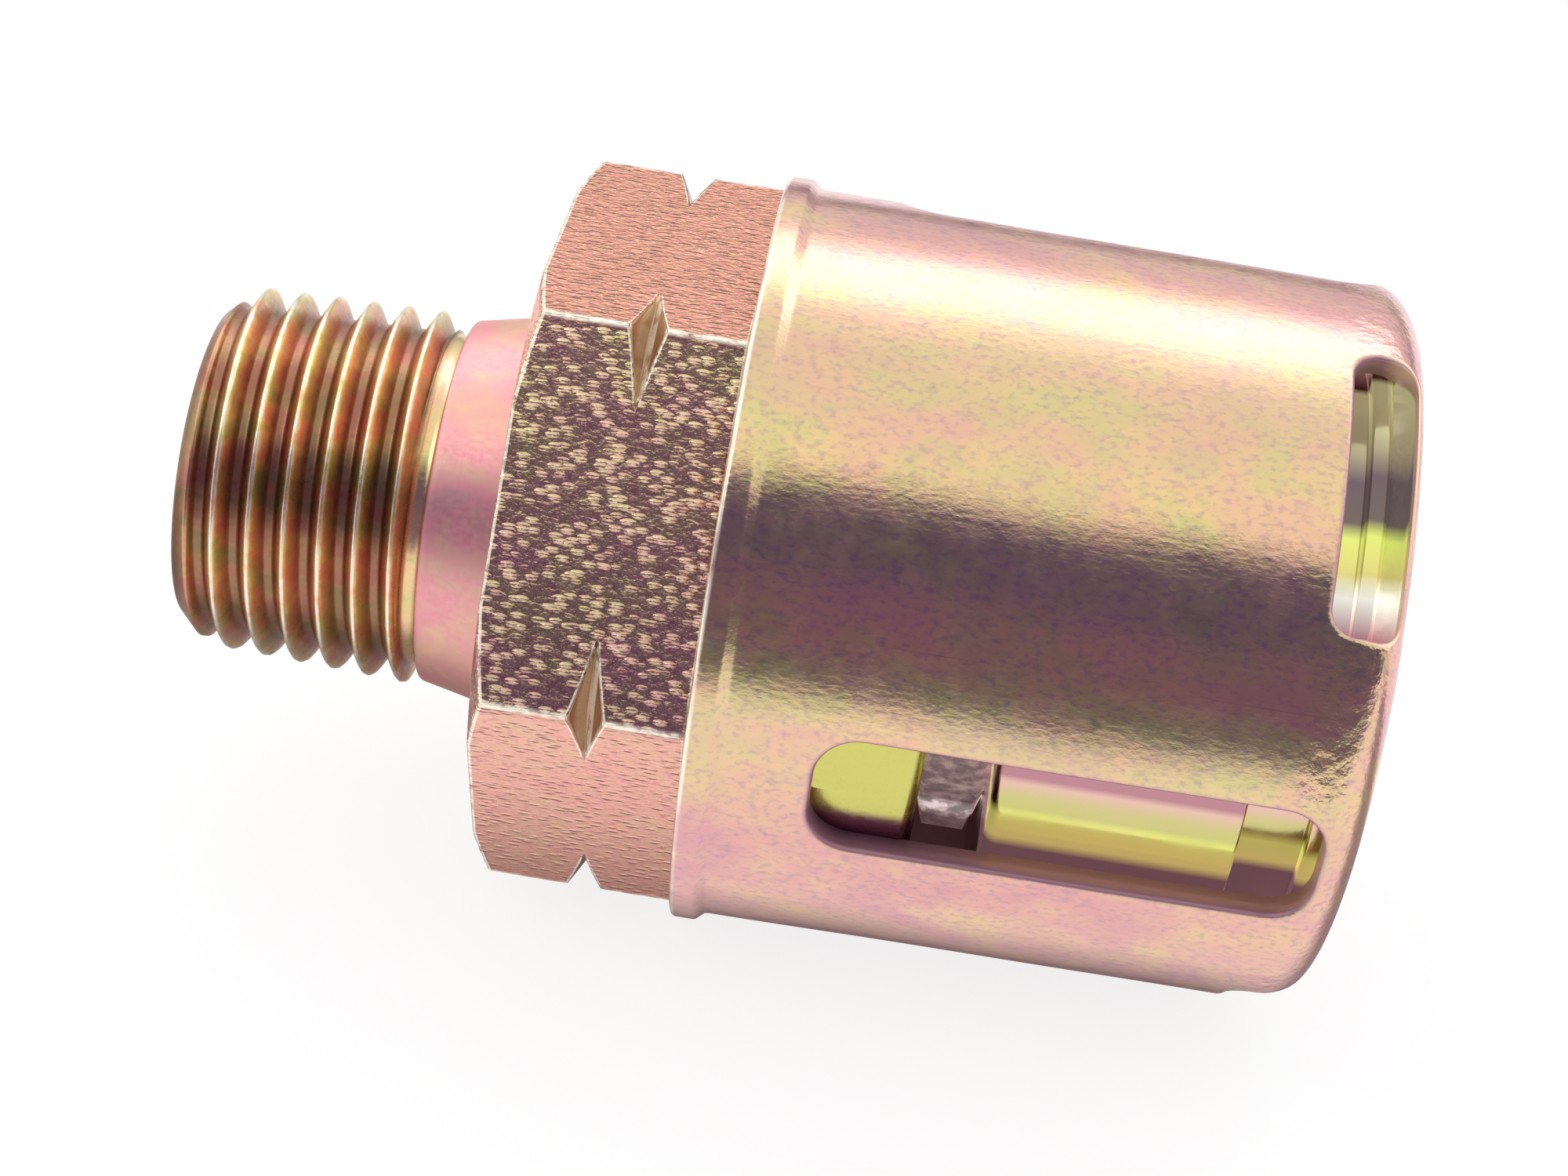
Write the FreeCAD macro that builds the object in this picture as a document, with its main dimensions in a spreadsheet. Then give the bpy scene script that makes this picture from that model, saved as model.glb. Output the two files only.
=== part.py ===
import FreeCAD, Part
import math
import os
import re

import Sketcher

# Pneumatic exhaust muffler: a threaded hexagon body, a slotted shroud pressed over it, and a sprung
# piston between them that opens under exhaust pressure.  Millimetres.
# X runs along the axis from the inlet end of the thread (x = 0) to the closed end of the shroud.
# +Z is up, and two of the body's six flats face +Z and -Z.  A size named *_start or *_end is a place
# along X, and a size named *_radius is measured from the axis.

DIMENSIONS = (
    # alias, size, what it is
    ("thread_pitch", 0.907, "R 1/8 taper thread, 28 turns to the inch"),
    ("thread_crest_radius", 4.739, "crest radius at the inlet end"),
    ("thread_taper", 0.03125, "growth of the crest radius per millimetre, 1 in 16 on diameter"),
    ("thread_depth", 0.581, "crest to root"),
    ("thread_root_width", 0.15, "flat at the root"),
    ("thread_flank_width", 0.302, "axial width of one 27.5 degree flank"),
    ("thread_overcut", 1.2, "height of the cut over the thread's depth, so that it clears the crests"),
    ("thread_first_groove", 0.2605, "first groove centre, on the +Y side"),
    ("thread_last_groove", 5.85, "where the groove runs out into the relief"),
    ("thread_tip_radius", 4.05, "outer radius of the inlet end face"),
    ("thread_tip_chamfer", 0.7, "length of the lead-in chamfer"),
    ("relief_start", 5.9, "relief behind the thread"),
    ("relief_radius", 4.33, "bottom of the relief"),
    ("neck_start", 6.35, "plain conical neck"),
    ("neck_small_radius", 4.75, "neck radius next to the thread"),
    ("neck_large_radius", 5.2, "neck radius next to the hexagon"),
    ("hexagon_start", 8.5, "inlet side of the hexagon"),
    ("hexagon_flats", 16.3, "across flats"),
    ("hexagon_face_radius", 8.5, "circle that the corner bevel leaves on the end face"),
    ("hexagon_bevel", 0.4, "depth of the corner bevel"),
    ("hexagon_reach", 9.5, "radius just outside the hexagon corners"),
    ("hexagon_core_radius", 7.4, "turned core inside the hexagon"),
    ("notch_centre", 11.4, "V notch turned across the corners"),
    ("notch_root_radius", 8.6, "bottom of the V notch"),
    ("notch_half_width", 0.5, "half width of the V notch at the corners"),
    ("register_start", 13.8, "shoulder that the shroud butts against"),
    ("register_end", 19.45, "outlet face of the body"),
    ("register_radius", 8.8, "cylinder that the shroud is pressed over"),
    ("register_chamfer", 0.3, "chamfer at the outlet face"),
    ("inlet_radius", 3.0, "inlet bore"),
    ("chamber_start", 10.0, "floor of the silencing chamber"),
    ("chamber_radius", 6.6, "silencing chamber"),
    ("clip_start", 18.3, "groove of the retaining ring"),
    ("clip_thickness", 0.6, "retaining ring thickness"),
    ("clip_groove_radius", 6.95, "bottom of the retaining ring groove"),
    ("clip_inner_radius", 5.9, "inside of the retaining ring"),
    ("clip_span", 335.0, "degrees of ring left by its gap"),
    ("slip_fit", 0.05, "radial clearance of the loose parts in the chamber"),
    ("edge_break", 0.12, "small chamfers of the inner parts"),
    ("screen_thickness", 0.4, "perforated discs"),
    ("screen_hole_radius", 0.45, "perforations"),
    ("screen_inner_row", 2.0, "radius of the inner row of holes"),
    ("screen_middle_row", 3.9, "radius of the middle row of holes"),
    ("screen_outer_row", 5.7, "radius of the outer row of holes"),
    ("pack_end", 16.3, "outlet end of the silencing pack"),
    ("seat_start", 16.7, "inlet side of the seat ring"),
    ("seat_lip_end", 18.7, "sealing lip of the seat"),
    ("seat_orifice_radius", 4.2, "hole through the seat"),
    ("seat_lip_radius", 4.6, "crest of the sealing lip"),
    ("seat_lip_root_radius", 5.1, "foot of the sealing lip"),
    ("seat_groove_start", 17.05, "groove of the seat's O-ring"),
    ("seat_groove_width", 1.0, "width of that groove"),
    ("seal_section_radius", 0.45, "O-ring section"),
    ("disc_end", 19.5, "rubber sealing disc, clamped side"),
    ("disc_radius", 5.6, "rubber sealing disc"),
    ("disc_hole_radius", 1.6, "hole in the disc, and the spigot through it"),
    ("washer_start", 18.2, "washer in front of the disc"),
    ("washer_radius", 3.4, "that washer, inside the seat's hole"),
    ("rivet_start", 17.6, "tip of the riveted spigot"),
    ("rivet_radius", 2.4, "riveted head"),
    ("poppet_flats", 11.0, "across flats of the poppet's hexagon"),
    ("poppet_bevel", 0.3, "bevel of the small hexagons' corners"),
    ("bevel_inset", 0.1, "how far inside the flats the bevel starts on the small hexagons' faces"),
    ("bevel_overcut", 0.1, "how far past the corners the bevel's cutter reaches"),
    ("piston_start", 21.2, "closed face of the piston"),
    ("piston_face_thickness", 1.0, "closed face"),
    ("piston_end", 27.2, "open end of the piston's skirt at rest"),
    ("piston_radius", 8.3, "outside of the skirt"),
    ("piston_bore_radius", 7.75, "inside of the skirt"),
    ("piston_edge_round", 0.3, "rounded edge of the closed face"),
    ("vent_radius", 0.4, "vent holes in the piston's face"),
    ("vent_row", 6.65, "radius of the row of vents"),
    ("shank_radius", 2.5, "poppet's shank through the piston"),
    ("shank_end", 26.3, "free end of the shank"),
    ("lock_washer_thickness", 1.0, "split lock washer"),
    ("lock_washer_radius", 4.4, "split lock washer"),
    ("lock_washer_span", 348.0, "degrees of washer left by its split"),
    ("nut_thickness", 2.7, "thin nut"),
    ("nut_flats", 8.0, "across flats"),
    ("guide_start", 24.1, "open end of the guide cup"),
    ("guide_radius", 7.7, "outside of the guide cup"),
    ("guide_wall", 0.6, "wall of the guide cup"),
    ("guide_floor_start", 28.5, "inside floor of the guide cup"),
    ("guide_flange_start", 28.8, "flange that stops the piston"),
    ("guide_flange_radius", 8.1, "flange radius"),
    ("guide_ring_start", 25.1, "groove of the sliding ring"),
    ("guide_ring_width", 1.2, "sliding ring"),
    ("guide_ring_depth", 0.35, "depth of its groove"),
    ("guide_ring_clearance", 0.02, "radial clearance between the sliding ring and the piston"),
    ("guide_ring_span", 352.0, "degrees of sliding ring left by its split"),
    ("spring_coil_radius", 5.6, "mean radius of the coils"),
    ("spring_wire_radius", 0.35, "wire"),
    ("spring_turns", 6.5, "coils in all, one closed at each end"),
    ("spring_closed_gap", 0.014, "gap left beside a closed coil"),
    ("shroud_radius", 9.5, "outside of the shroud behind its lip"),
    ("shroud_end_radius", 9.42, "outside of the shroud at its closed end, before rounding"),
    ("shroud_wall", 0.7, "sheet thickness"),
    ("shroud_end", 30.0, "closed end"),
    ("lip_radius", 9.72, "rolled lip at the open end"),
    ("lip_end", 14.45, "lip's inner edge"),
    ("lip_blend", 0.2, "slope from the lip down to the wall"),
    ("lip_round", 0.12, "rounded lip edge"),
    ("shroud_corner_round", 1.3, "outside corner of the closed end"),
    ("shroud_inside_round", 0.6, "inside corner of the closed end"),
    ("slot_start", 16.9, "long slots"),
    ("slot_end", 29.05, "long slots"),
    ("slot_half_width", 1.62, "long slots"),
    ("slot_corner", 1.1, "rounded corners of the long slots"),
    ("window_start", 28.1, "end windows"),
    ("window_end", 29.75, "end windows, which cut into the closed end's corner"),
    ("window_half_length", 3.65, "end windows, measured across the axis"),
    ("window_corner", 0.6, "rounded corners of the end windows"),
    ("window_floor", 7.9, "how near the axis the windows are punched"),
    ("opening_count", 3, "long slots, and end windows halfway between them"),
    ("shroud_turn", 6.0, "degrees that the slots are turned below the -Y side"),
)

ALIASES = {alias for alias, number, meaning in DIMENSIONS}
HEXAGON = (("2/sqrt(3)", "0"), ("1/sqrt(3)", "1"), ("-1/sqrt(3)", "1"),
           ("-2/sqrt(3)", "0"), ("-1/sqrt(3)", "-1"), ("1/sqrt(3)", "-1"))
SPRING_STEPS = 24       # points of the spring's centre line in each turn
LINE_START, LINE_END, CENTRE = 1, 2, 3
SKETCH_ORIGIN, SKETCH_X_AXIS, SKETCH_Y_AXIS = -1, -1, -2

doc = FreeCAD.newDocument("pneumatic_muffler")


# ---- sizes -------------------------------------------------------------------------------------

def fill_sheet():
    """Write every driving dimension into the document's sheet under its alias."""
    cells = doc.addObject("Spreadsheet::Sheet", "Sizes")
    for row, (alias, number, meaning) in enumerate(DIMENSIONS, start=1):
        cells.set("A%d" % row, meaning)
        cells.set("B%d" % row, str(number))
        cells.setAlias("B%d" % row, alias)
    doc.recompute()
    return cells


def bound(formula):
    """The formula with each alias written the way an expression needs it."""
    def full_name(word):
        return "Sizes." + word.group() if word.group() in ALIASES else word.group()
    return re.sub(r"[a-z_]+", full_name, formula)


def size(formula):
    """The number that a formula of aliases comes to."""
    return float(sheet.evalExpression(bound(formula)))


# ---- sketches ----------------------------------------------------------------------------------

def own_origin(body, role):
    """One of the body's own origin planes or axes."""
    return next(item for item in body.Origin.OriginFeatures if item.Role == role)


def new_sketch(body, name, plane="XY_Plane", shift=None):
    """A sketch on an origin plane, moved along the plane's normal by a formula."""
    sketch = body.newObject("Sketcher::SketchObject", name)
    sketch.AttachmentSupport = [(own_origin(body, plane), "")]
    sketch.MapMode = "FlatFace"
    if shift:
        sketch.setExpression("AttachmentOffset.Base.z", bound(shift))
    return sketch


def pin(sketch, geometry, point, across, up):
    """Tie one point of a sketch to two formulas, measured from the sketch's origin."""
    for kind, axis, formula in (("DistanceX", SKETCH_Y_AXIS, across), ("DistanceY", SKETCH_X_AXIS, up)):
        distance = size(formula)
        if distance == 0:
            sketch.addConstraint(Sketcher.Constraint("PointOnObject", geometry, point, axis))
            continue
        tie = Sketcher.Constraint(kind, SKETCH_ORIGIN, LINE_START, geometry, point, distance)
        index = sketch.addConstraint(tie)
        sketch.setExpression("Constraints[%d]" % index, bound(formula))


def outline(sketch, corners):
    """A closed outline of straight lines; each corner is a pair of formulas."""
    places = [FreeCAD.Vector(size(across), size(up), 0) for across, up in corners]
    first = sketch.GeometryCount
    count = len(corners)
    for index in range(count):
        sketch.addGeometry(Part.LineSegment(places[index], places[(index + 1) % count]), False)
    for index in range(count):
        following = first + (index + 1) % count
        join = Sketcher.Constraint("Coincident", first + index, LINE_END, following, LINE_START)
        sketch.addConstraint(join)
    for index, (across, up) in enumerate(corners):
        pin(sketch, first + index, LINE_START, across, up)


def fix_radius(sketch, geometry, radius):
    """Tie the radius of a circle or an arc to a formula."""
    index = sketch.addConstraint(Sketcher.Constraint("Radius", geometry, size(radius)))
    sketch.setExpression("Constraints[%d]" % index, bound(radius))


def circle(sketch, radius, across="0", up="0"):
    """A circle whose centre and radius are formulas."""
    centre = FreeCAD.Vector(size(across), size(up), 0)
    ring = Part.Circle(centre, FreeCAD.Vector(0, 0, 1), size(radius))
    geometry = sketch.addGeometry(ring, False)
    fix_radius(sketch, geometry, radius)
    pin(sketch, geometry, CENTRE, across, up)


def rounded_opening(sketch, start, end, half_width, corner):
    """A rectangle with rounded corners from start to end, centred on the horizontal axis."""
    near, far = "%s + %s" % (start, corner), "%s - %s" % (end, corner)
    low, high = "%s - %s" % (corner, half_width), "%s - %s" % (half_width, corner)
    centres = ((far, low), (far, high), (near, high), (near, low))
    places = [FreeCAD.Vector(size(across), size(up), 0) for across, up in centres]
    quarter = math.pi / 2
    for turns, place in enumerate(places):
        ring = Part.Circle(place, FreeCAD.Vector(0, 0, 1), size(corner))
        sketch.addGeometry(Part.ArcOfCircle(ring, (turns - 1) * quarter, turns * quarter), False)
        side = FreeCAD.Vector(math.cos(turns * quarter), math.sin(turns * quarter), 0) * size(corner)
        following = places[(turns + 1) % 4]
        sketch.addGeometry(Part.LineSegment(place + side, following + side), False)
    count = sketch.GeometryCount
    for index in range(count):
        join = Sketcher.Constraint("Tangent", index, LINE_END, (index + 1) % count, LINE_START)
        sketch.addConstraint(join)
    for turns, (across, up) in enumerate(centres):
        pin(sketch, 2 * turns, CENTRE, across, up)
        fix_radius(sketch, 2 * turns, corner)


def hexagon_corners(flats):
    """Corners of a hexagon about the axis, two of them on the sketch's horizontal axis."""
    half = "(%s) / 2 * " % flats
    return [(half + "(%s)" % across, half + "(%s)" % up) for across, up in HEXAGON]


# ---- features ----------------------------------------------------------------------------------

def new_body(name):
    """An empty body that will be written to parts/NAME.step."""
    body = doc.addObject("PartDesign::Body", name)
    body.Label = name
    return body


def turn(body, name, corners, kind="PartDesign::Revolution", span="360"):
    """Turn a profile of (place along X, radius) corners about the axis, adding or cutting."""
    sketch = new_sketch(body, name + "_profile")
    outline(sketch, corners)
    feature = body.newObject(kind, name)
    feature.Profile = sketch
    feature.ReferenceAxis = (sketch, ["H_Axis"])
    feature.setExpression("Angle", bound(span))
    doc.recompute()
    return feature


def groove(body, name, corners):
    """Turn a profile away from the body."""
    return turn(body, name, corners, kind="PartDesign::Groove")


def turned_body(name, corners, span="360"):
    """A body made by turning one profile."""
    body = new_body(name)
    turn(body, name + "_turned", corners, span=span)
    return body


def pad(body, name, sketch, length):
    """Raise a sketch along +X."""
    feature = body.newObject("PartDesign::Pad", name)
    feature.Profile = sketch
    feature.setExpression("Length", bound(length))
    doc.recompute()
    return feature


def pocket(body, name, sketch, backwards=False):
    """Cut a sketch right through one side of the body, and make sure that it did cut."""
    before = body.Shape.Volume
    feature = body.newObject("PartDesign::Pocket", name)
    feature.Profile = sketch
    feature.Type = "ThroughAll"
    feature.Reversed = backwards
    doc.recompute()
    if body.Shape.Volume > before - 1e-6:
        raise ValueError("%s cuts nothing" % name)
    return feature


def repeat_about_axis(body, name, feature, count):
    """Repeat a feature evenly about the axis."""
    pattern = body.newObject("PartDesign::PolarPattern", name)
    pattern.Originals = [feature]
    pattern.Axis = (own_origin(body, "X_Axis"), [""])
    pattern.Angle = 360
    pattern.setExpression("Occurrences", bound(count))
    body.Tip = pattern
    doc.recompute()
    return pattern


def round_edges(body, name, place, radius, rounding):
    """Round the circular edge that lies at a place along X and has a radius."""
    base = body.Tip
    picked = []
    for number, edge in enumerate(base.Shape.Edges, start=1):
        round_edge = hasattr(edge.Curve, "Radius")
        if not round_edge or abs(edge.Curve.Radius - size(radius)) > 1e-4:
            continue
        if abs(edge.Curve.Center.x - size(place)) < 1e-4:
            picked.append("Edge%d" % number)
    feature = body.newObject("PartDesign::Fillet", name)
    feature.Base = (base, picked)
    feature.setExpression("Radius", bound(rounding))
    doc.recompute()
    return feature


def bevel_hexagon(body, name, inner, outer, flats):
    """Bevel a hexagon's corners on the face at inner; outer is where the bevel ends at the corners."""
    face_radius = "(%s) / 2 - bevel_inset" % flats
    reach = "(%s) / sqrt(3) + bevel_overcut" % flats
    return groove(body, name, [(inner, face_radius), (outer, reach), (inner, reach)])


# ---- body with thread, hexagon and register ----------------------------------------------------

def make_body():
    body = new_body("body")
    turn(body, "blank", [
        ("0", "inlet_radius"),
        ("0", "thread_tip_radius"),
        ("thread_tip_chamfer", "thread_crest_radius + thread_tip_chamfer * thread_taper"),
        ("relief_start", "thread_crest_radius + relief_start * thread_taper"),
        ("relief_start", "relief_radius"),
        ("neck_start", "relief_radius"),
        ("neck_start", "neck_small_radius"),
        ("hexagon_start", "neck_large_radius"),
        ("hexagon_start", "hexagon_core_radius"),
        ("register_start", "hexagon_core_radius"),
        ("register_start", "register_radius"),
        ("register_end - register_chamfer", "register_radius"),
        ("register_end", "register_radius - register_chamfer"),
        ("register_end", "chamber_radius + register_chamfer / 2"),
        ("register_end - register_chamfer / 2", "chamber_radius"),
        ("clip_start + clip_thickness", "chamber_radius"),
        ("clip_start + clip_thickness", "clip_groove_radius"),
        ("clip_start", "clip_groove_radius"),
        ("clip_start", "chamber_radius"),
        ("chamber_start", "chamber_radius"),
        ("chamber_start", "inlet_radius"),
    ])
    add_spanner_hexagon(body)
    cut_thread(body)
    return body


def add_spanner_hexagon(body):
    """The hexagon, its bevelled corners and the V notch that crosses each corner."""
    sketch = new_sketch(body, "hexagon_outline", "YZ_Plane", "hexagon_start")
    outline(sketch, hexagon_corners("hexagon_flats"))
    circle(sketch, "hexagon_core_radius - slip_fit")
    pad(body, "hexagon", sketch, "register_start - hexagon_start")
    groove(body, "corner_bevel", [
        ("hexagon_start", "hexagon_face_radius"),
        ("hexagon_start + hexagon_bevel", "hexagon_reach"),
        ("hexagon_start", "hexagon_reach"),
    ])
    groove(body, "corner_notch", [
        ("notch_centre", "notch_root_radius"),
        ("notch_centre + notch_half_width", "hexagon_reach"),
        ("notch_centre - notch_half_width", "hexagon_reach"),
    ])


def cut_thread(body):
    """Cut the right-hand taper thread, starting one turn before the end face."""
    centre = "thread_first_groove - thread_pitch"
    root = "thread_crest_radius - thread_depth + (%s) * thread_taper" % centre
    flank = "thread_flank_width * thread_overcut"
    above = root + " + thread_depth * thread_overcut"
    sketch = new_sketch(body, "thread_groove_section")
    outline(sketch, [
        (centre + " - thread_root_width / 2", root),
        (centre + " + thread_root_width / 2", root),
        (centre + " + thread_root_width / 2 + " + flank, above),
        (centre + " - thread_root_width / 2 - " + flank, above),
    ])
    doc.recompute()
    before = body.Shape.Volume
    helix = body.newObject("PartDesign::SubtractiveHelix", "thread")
    helix.Profile = sketch
    helix.ReferenceAxis = (sketch, ["H_Axis"])
    helix.Mode = "pitch-height-angle"
    helix.setExpression("Pitch", bound("thread_pitch"))
    helix.setExpression("Height", bound("thread_last_groove - thread_first_groove + thread_pitch"))
    helix.setExpression("Angle", bound("atan(thread_taper)"))
    doc.recompute()
    if body.Shape.Volume > before - 1:
        raise ValueError("the thread cuts nothing")


# ---- shroud ------------------------------------------------------------------------------------

def make_shroud():
    """Drawn cup with a rolled lip, three long slots and three end windows between them."""
    body = turned_body("shroud", [
        ("register_start", "register_radius"),
        ("register_start", "lip_radius"),
        ("lip_end", "lip_radius"),
        ("lip_end + lip_blend", "shroud_radius"),
        ("shroud_end", "shroud_end_radius"),
        ("shroud_end", "0"),
        ("shroud_end - shroud_wall", "0"),
        ("shroud_end - shroud_wall", "shroud_end_radius - shroud_wall"),
        ("register_end", "register_radius"),
    ])
    round_edges(body, "outside_corner", "shroud_end", "shroud_end_radius", "shroud_corner_round")
    round_edges(body, "inside_corner", "shroud_end - shroud_wall", "shroud_end_radius - shroud_wall",
                "shroud_inside_round")
    round_edges(body, "lip_outer_edge", "register_start", "lip_radius", "lip_round")
    round_edges(body, "lip_inner_edge", "lip_end", "lip_radius", "lip_round")
    punch_slots(body)
    punch_windows(body)
    body.setExpression("Placement.Rotation.Axis.x", "1")
    body.setExpression("Placement.Rotation.Axis.z", "0")
    body.setExpression("Placement.Rotation.Angle", bound("shroud_turn"))
    return body


def punch_slots(body):
    sketch = new_sketch(body, "slot_outline", "XZ_Plane")
    rounded_opening(sketch, "slot_start", "slot_end", "slot_half_width", "slot_corner")
    slot = pocket(body, "slot", sketch, backwards=True)
    repeat_about_axis(body, "slots", slot, "opening_count")


def punch_windows(body):
    """The windows start on the +Y side, half a step away from the nearest slots."""
    sketch = new_sketch(body, "window_outline", "XZ_Plane", "-window_floor")
    rounded_opening(sketch, "window_start", "window_end", "window_half_length", "window_corner")
    window = pocket(body, "window", sketch)
    repeat_about_axis(body, "windows", window, "opening_count")


# ---- silencing pack, seat and their fastening --------------------------------------------------

def perforate(body):
    """Rows of holes through a disc, with more holes in each larger row."""
    rows = (("inner", "screen_inner_row", "6"), ("middle", "screen_middle_row", "12"),
            ("outer", "screen_outer_row", "18"))
    for name, row, count in rows:
        sketch = new_sketch(body, name + "_hole_outline", "YZ_Plane")
        circle(sketch, "screen_hole_radius", across=row)
        hole = pocket(body, name + "_hole", sketch, backwards=True)
        repeat_about_axis(body, name + "_holes", hole, count)


def make_screen(name, start):
    """Perforated disc that holds the silencing pack on one side."""
    end = start + " + screen_thickness"
    body = turned_body(name, [
        (start, "0"),
        (start, "chamber_radius - slip_fit"),
        (end, "chamber_radius - slip_fit"),
        (end, "0"),
    ])
    perforate(body)
    return body


def make_silencing_pack():
    """Plug of knitted wire that breaks up the exhaust pulse, drawn as one closed solid."""
    start = "chamber_start + screen_thickness"
    return turned_body("silencing_pack", [
        (start, "0"),
        (start, "chamber_radius - edge_break - slip_fit"),
        (start + " + edge_break", "chamber_radius - slip_fit"),
        ("pack_end - edge_break", "chamber_radius - slip_fit"),
        ("pack_end", "chamber_radius - edge_break - slip_fit"),
        ("pack_end", "0"),
    ])


def make_seat_ring():
    """Ring with a raised sealing lip on its outlet side and an O-ring groove in its rim."""
    outer = "chamber_radius - slip_fit"
    floor = "chamber_radius - seal_section_radius * 2"
    groove_end = "seat_groove_start + seat_groove_width"
    return turned_body("seat_ring", [
        ("seat_start", "seat_orifice_radius"),
        ("seat_start", outer),
        ("seat_groove_start", outer),
        ("seat_groove_start", floor),
        (groove_end, floor),
        (groove_end, outer),
        ("clip_start", outer),
        ("clip_start", "seat_lip_root_radius"),
        ("seat_lip_end", "seat_lip_radius"),
        ("seat_lip_end - edge_break", "seat_orifice_radius"),
    ])


def make_seat_seal():
    """O-ring between the seat ring and the chamber wall."""
    ring = doc.addObject("Part::Torus", "seat_seal")
    ring.Label = "seat_seal"
    ring.Placement = FreeCAD.Placement(FreeCAD.Vector(), FreeCAD.Rotation(FreeCAD.Vector(0, 1, 0), 90))
    ring.setExpression("Radius1", bound("chamber_radius - seal_section_radius"))
    ring.setExpression("Radius2", bound("seal_section_radius"))
    ring.setExpression("Placement.Base.x", bound("seat_groove_start + seat_groove_width / 2"))
    return ring


def make_retaining_ring():
    """Flat spring ring in the body's groove, open over part of a turn."""
    return turned_body("retaining_ring", [
        ("clip_start", "clip_inner_radius"),
        ("clip_start", "clip_groove_radius"),
        ("clip_start + clip_thickness", "clip_groove_radius"),
        ("clip_start + clip_thickness", "clip_inner_radius"),
    ], span="clip_span")


# ---- moving piston -----------------------------------------------------------------------------

def make_piston():
    """Cup that slides over the guide cup; its closed face carries the poppet."""
    inside = "piston_start + piston_face_thickness"
    body = turned_body("piston", [
        ("piston_start", "shank_radius"),
        ("piston_start", "piston_radius"),
        ("piston_end", "piston_radius"),
        ("piston_end", "piston_bore_radius"),
        (inside, "piston_bore_radius"),
        (inside, "shank_radius"),
    ])
    round_edges(body, "face_edge", "piston_start", "piston_radius", "piston_edge_round")
    sketch = new_sketch(body, "vent_outline", "YZ_Plane")
    circle(sketch, "vent_radius", up="vent_row")
    vent = pocket(body, "vent", sketch, backwards=True)
    repeat_about_axis(body, "vents", vent, "opening_count")
    return body


def make_poppet():
    """Hexagon between the sealing disc and the piston, with a riveted spigot and a threaded shank."""
    body = new_body("poppet")
    sketch = new_sketch(body, "poppet_hexagon_outline", "YZ_Plane", "disc_end")
    outline(sketch, hexagon_corners("poppet_flats"))
    pad(body, "poppet_hexagon", sketch, "piston_start - disc_end")
    bevel_hexagon(body, "front_bevel", "disc_end", "disc_end + poppet_bevel", "poppet_flats")
    bevel_hexagon(body, "back_bevel", "piston_start", "piston_start - poppet_bevel", "poppet_flats")
    turn(body, "stem", [
        ("rivet_start", "0"),
        ("rivet_start", "disc_hole_radius"),
        ("(rivet_start + washer_start) / 2", "rivet_radius"),
        ("washer_start", "rivet_radius"),
        ("washer_start", "disc_hole_radius"),
        ("disc_end", "disc_hole_radius"),
        ("disc_end", "shank_radius"),
        ("shank_end - poppet_bevel", "shank_radius"),
        ("shank_end", "shank_radius - poppet_bevel"),
        ("shank_end", "0"),
    ])
    return body


def make_sealing_disc():
    """Rubber disc that rests on the seat's lip."""
    return turned_body("sealing_disc", [
        ("seat_lip_end", "disc_hole_radius"),
        ("seat_lip_end", "disc_radius - edge_break"),
        ("seat_lip_end + edge_break", "disc_radius"),
        ("disc_end - edge_break", "disc_radius"),
        ("disc_end", "disc_radius - edge_break"),
        ("disc_end", "disc_hole_radius"),
    ])


def make_disc_washer():
    """Washer under the riveted head, which clamps the sealing disc."""
    return turned_body("disc_washer", [
        ("washer_start", "disc_hole_radius"),
        ("washer_start", "washer_radius - edge_break"),
        ("washer_start + edge_break", "washer_radius"),
        ("seat_lip_end", "washer_radius"),
        ("seat_lip_end", "disc_hole_radius"),
    ])


def make_lock_washer():
    """Split washer between the piston's face and the nut."""
    start = "piston_start + piston_face_thickness"
    end = start + " + lock_washer_thickness"
    return turned_body("lock_washer", [
        (start, "shank_radius + slip_fit"),
        (start, "lock_washer_radius"),
        (end, "lock_washer_radius"),
        (end, "shank_radius + slip_fit"),
    ], span="lock_washer_span")


def make_poppet_nut():
    """Thin nut that clamps the poppet's shank in the piston."""
    start = "piston_start + piston_face_thickness + lock_washer_thickness"
    end = start + " + nut_thickness"
    body = new_body("poppet_nut")
    sketch = new_sketch(body, "nut_outline", "YZ_Plane", start)
    outline(sketch, hexagon_corners("nut_flats"))
    circle(sketch, "shank_radius")
    pad(body, "nut_hexagon", sketch, "nut_thickness")
    bevel_hexagon(body, "nut_front_bevel", start, start + " + poppet_bevel", "nut_flats")
    bevel_hexagon(body, "nut_back_bevel", end, end + " - poppet_bevel", "nut_flats")
    return body


# ---- guide and spring --------------------------------------------------------------------------

def make_guide_cup():
    """Cup that rests in the shroud's closed end, guides the piston and stops it with its flange."""
    groove_floor = "guide_radius - guide_ring_depth"
    groove_end = "guide_ring_start + guide_ring_width"
    return turned_body("guide_cup", [
        ("guide_floor_start", "0"),
        ("guide_floor_start", "guide_radius - guide_wall"),
        ("guide_start", "guide_radius - guide_wall"),
        ("guide_start", "guide_radius - edge_break"),
        ("guide_start + edge_break", "guide_radius"),
        ("guide_ring_start", "guide_radius"),
        ("guide_ring_start", groove_floor),
        (groove_end, groove_floor),
        (groove_end, "guide_radius"),
        ("guide_flange_start", "guide_radius"),
        ("guide_flange_start", "guide_flange_radius"),
        ("shroud_end - shroud_wall", "guide_flange_radius"),
        ("shroud_end - shroud_wall", "0"),
    ])


def make_guide_ring():
    """Split sliding ring in the guide cup's groove, just clear of the piston's bore."""
    inner = "guide_radius - guide_ring_depth"
    outer = "piston_bore_radius - guide_ring_clearance"
    end = "guide_ring_start + guide_ring_width"
    return turned_body("guide_ring", [
        ("guide_ring_start", inner),
        ("guide_ring_start", outer),
        (end, outer),
        (end, inner),
    ], span="guide_ring_span")


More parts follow.
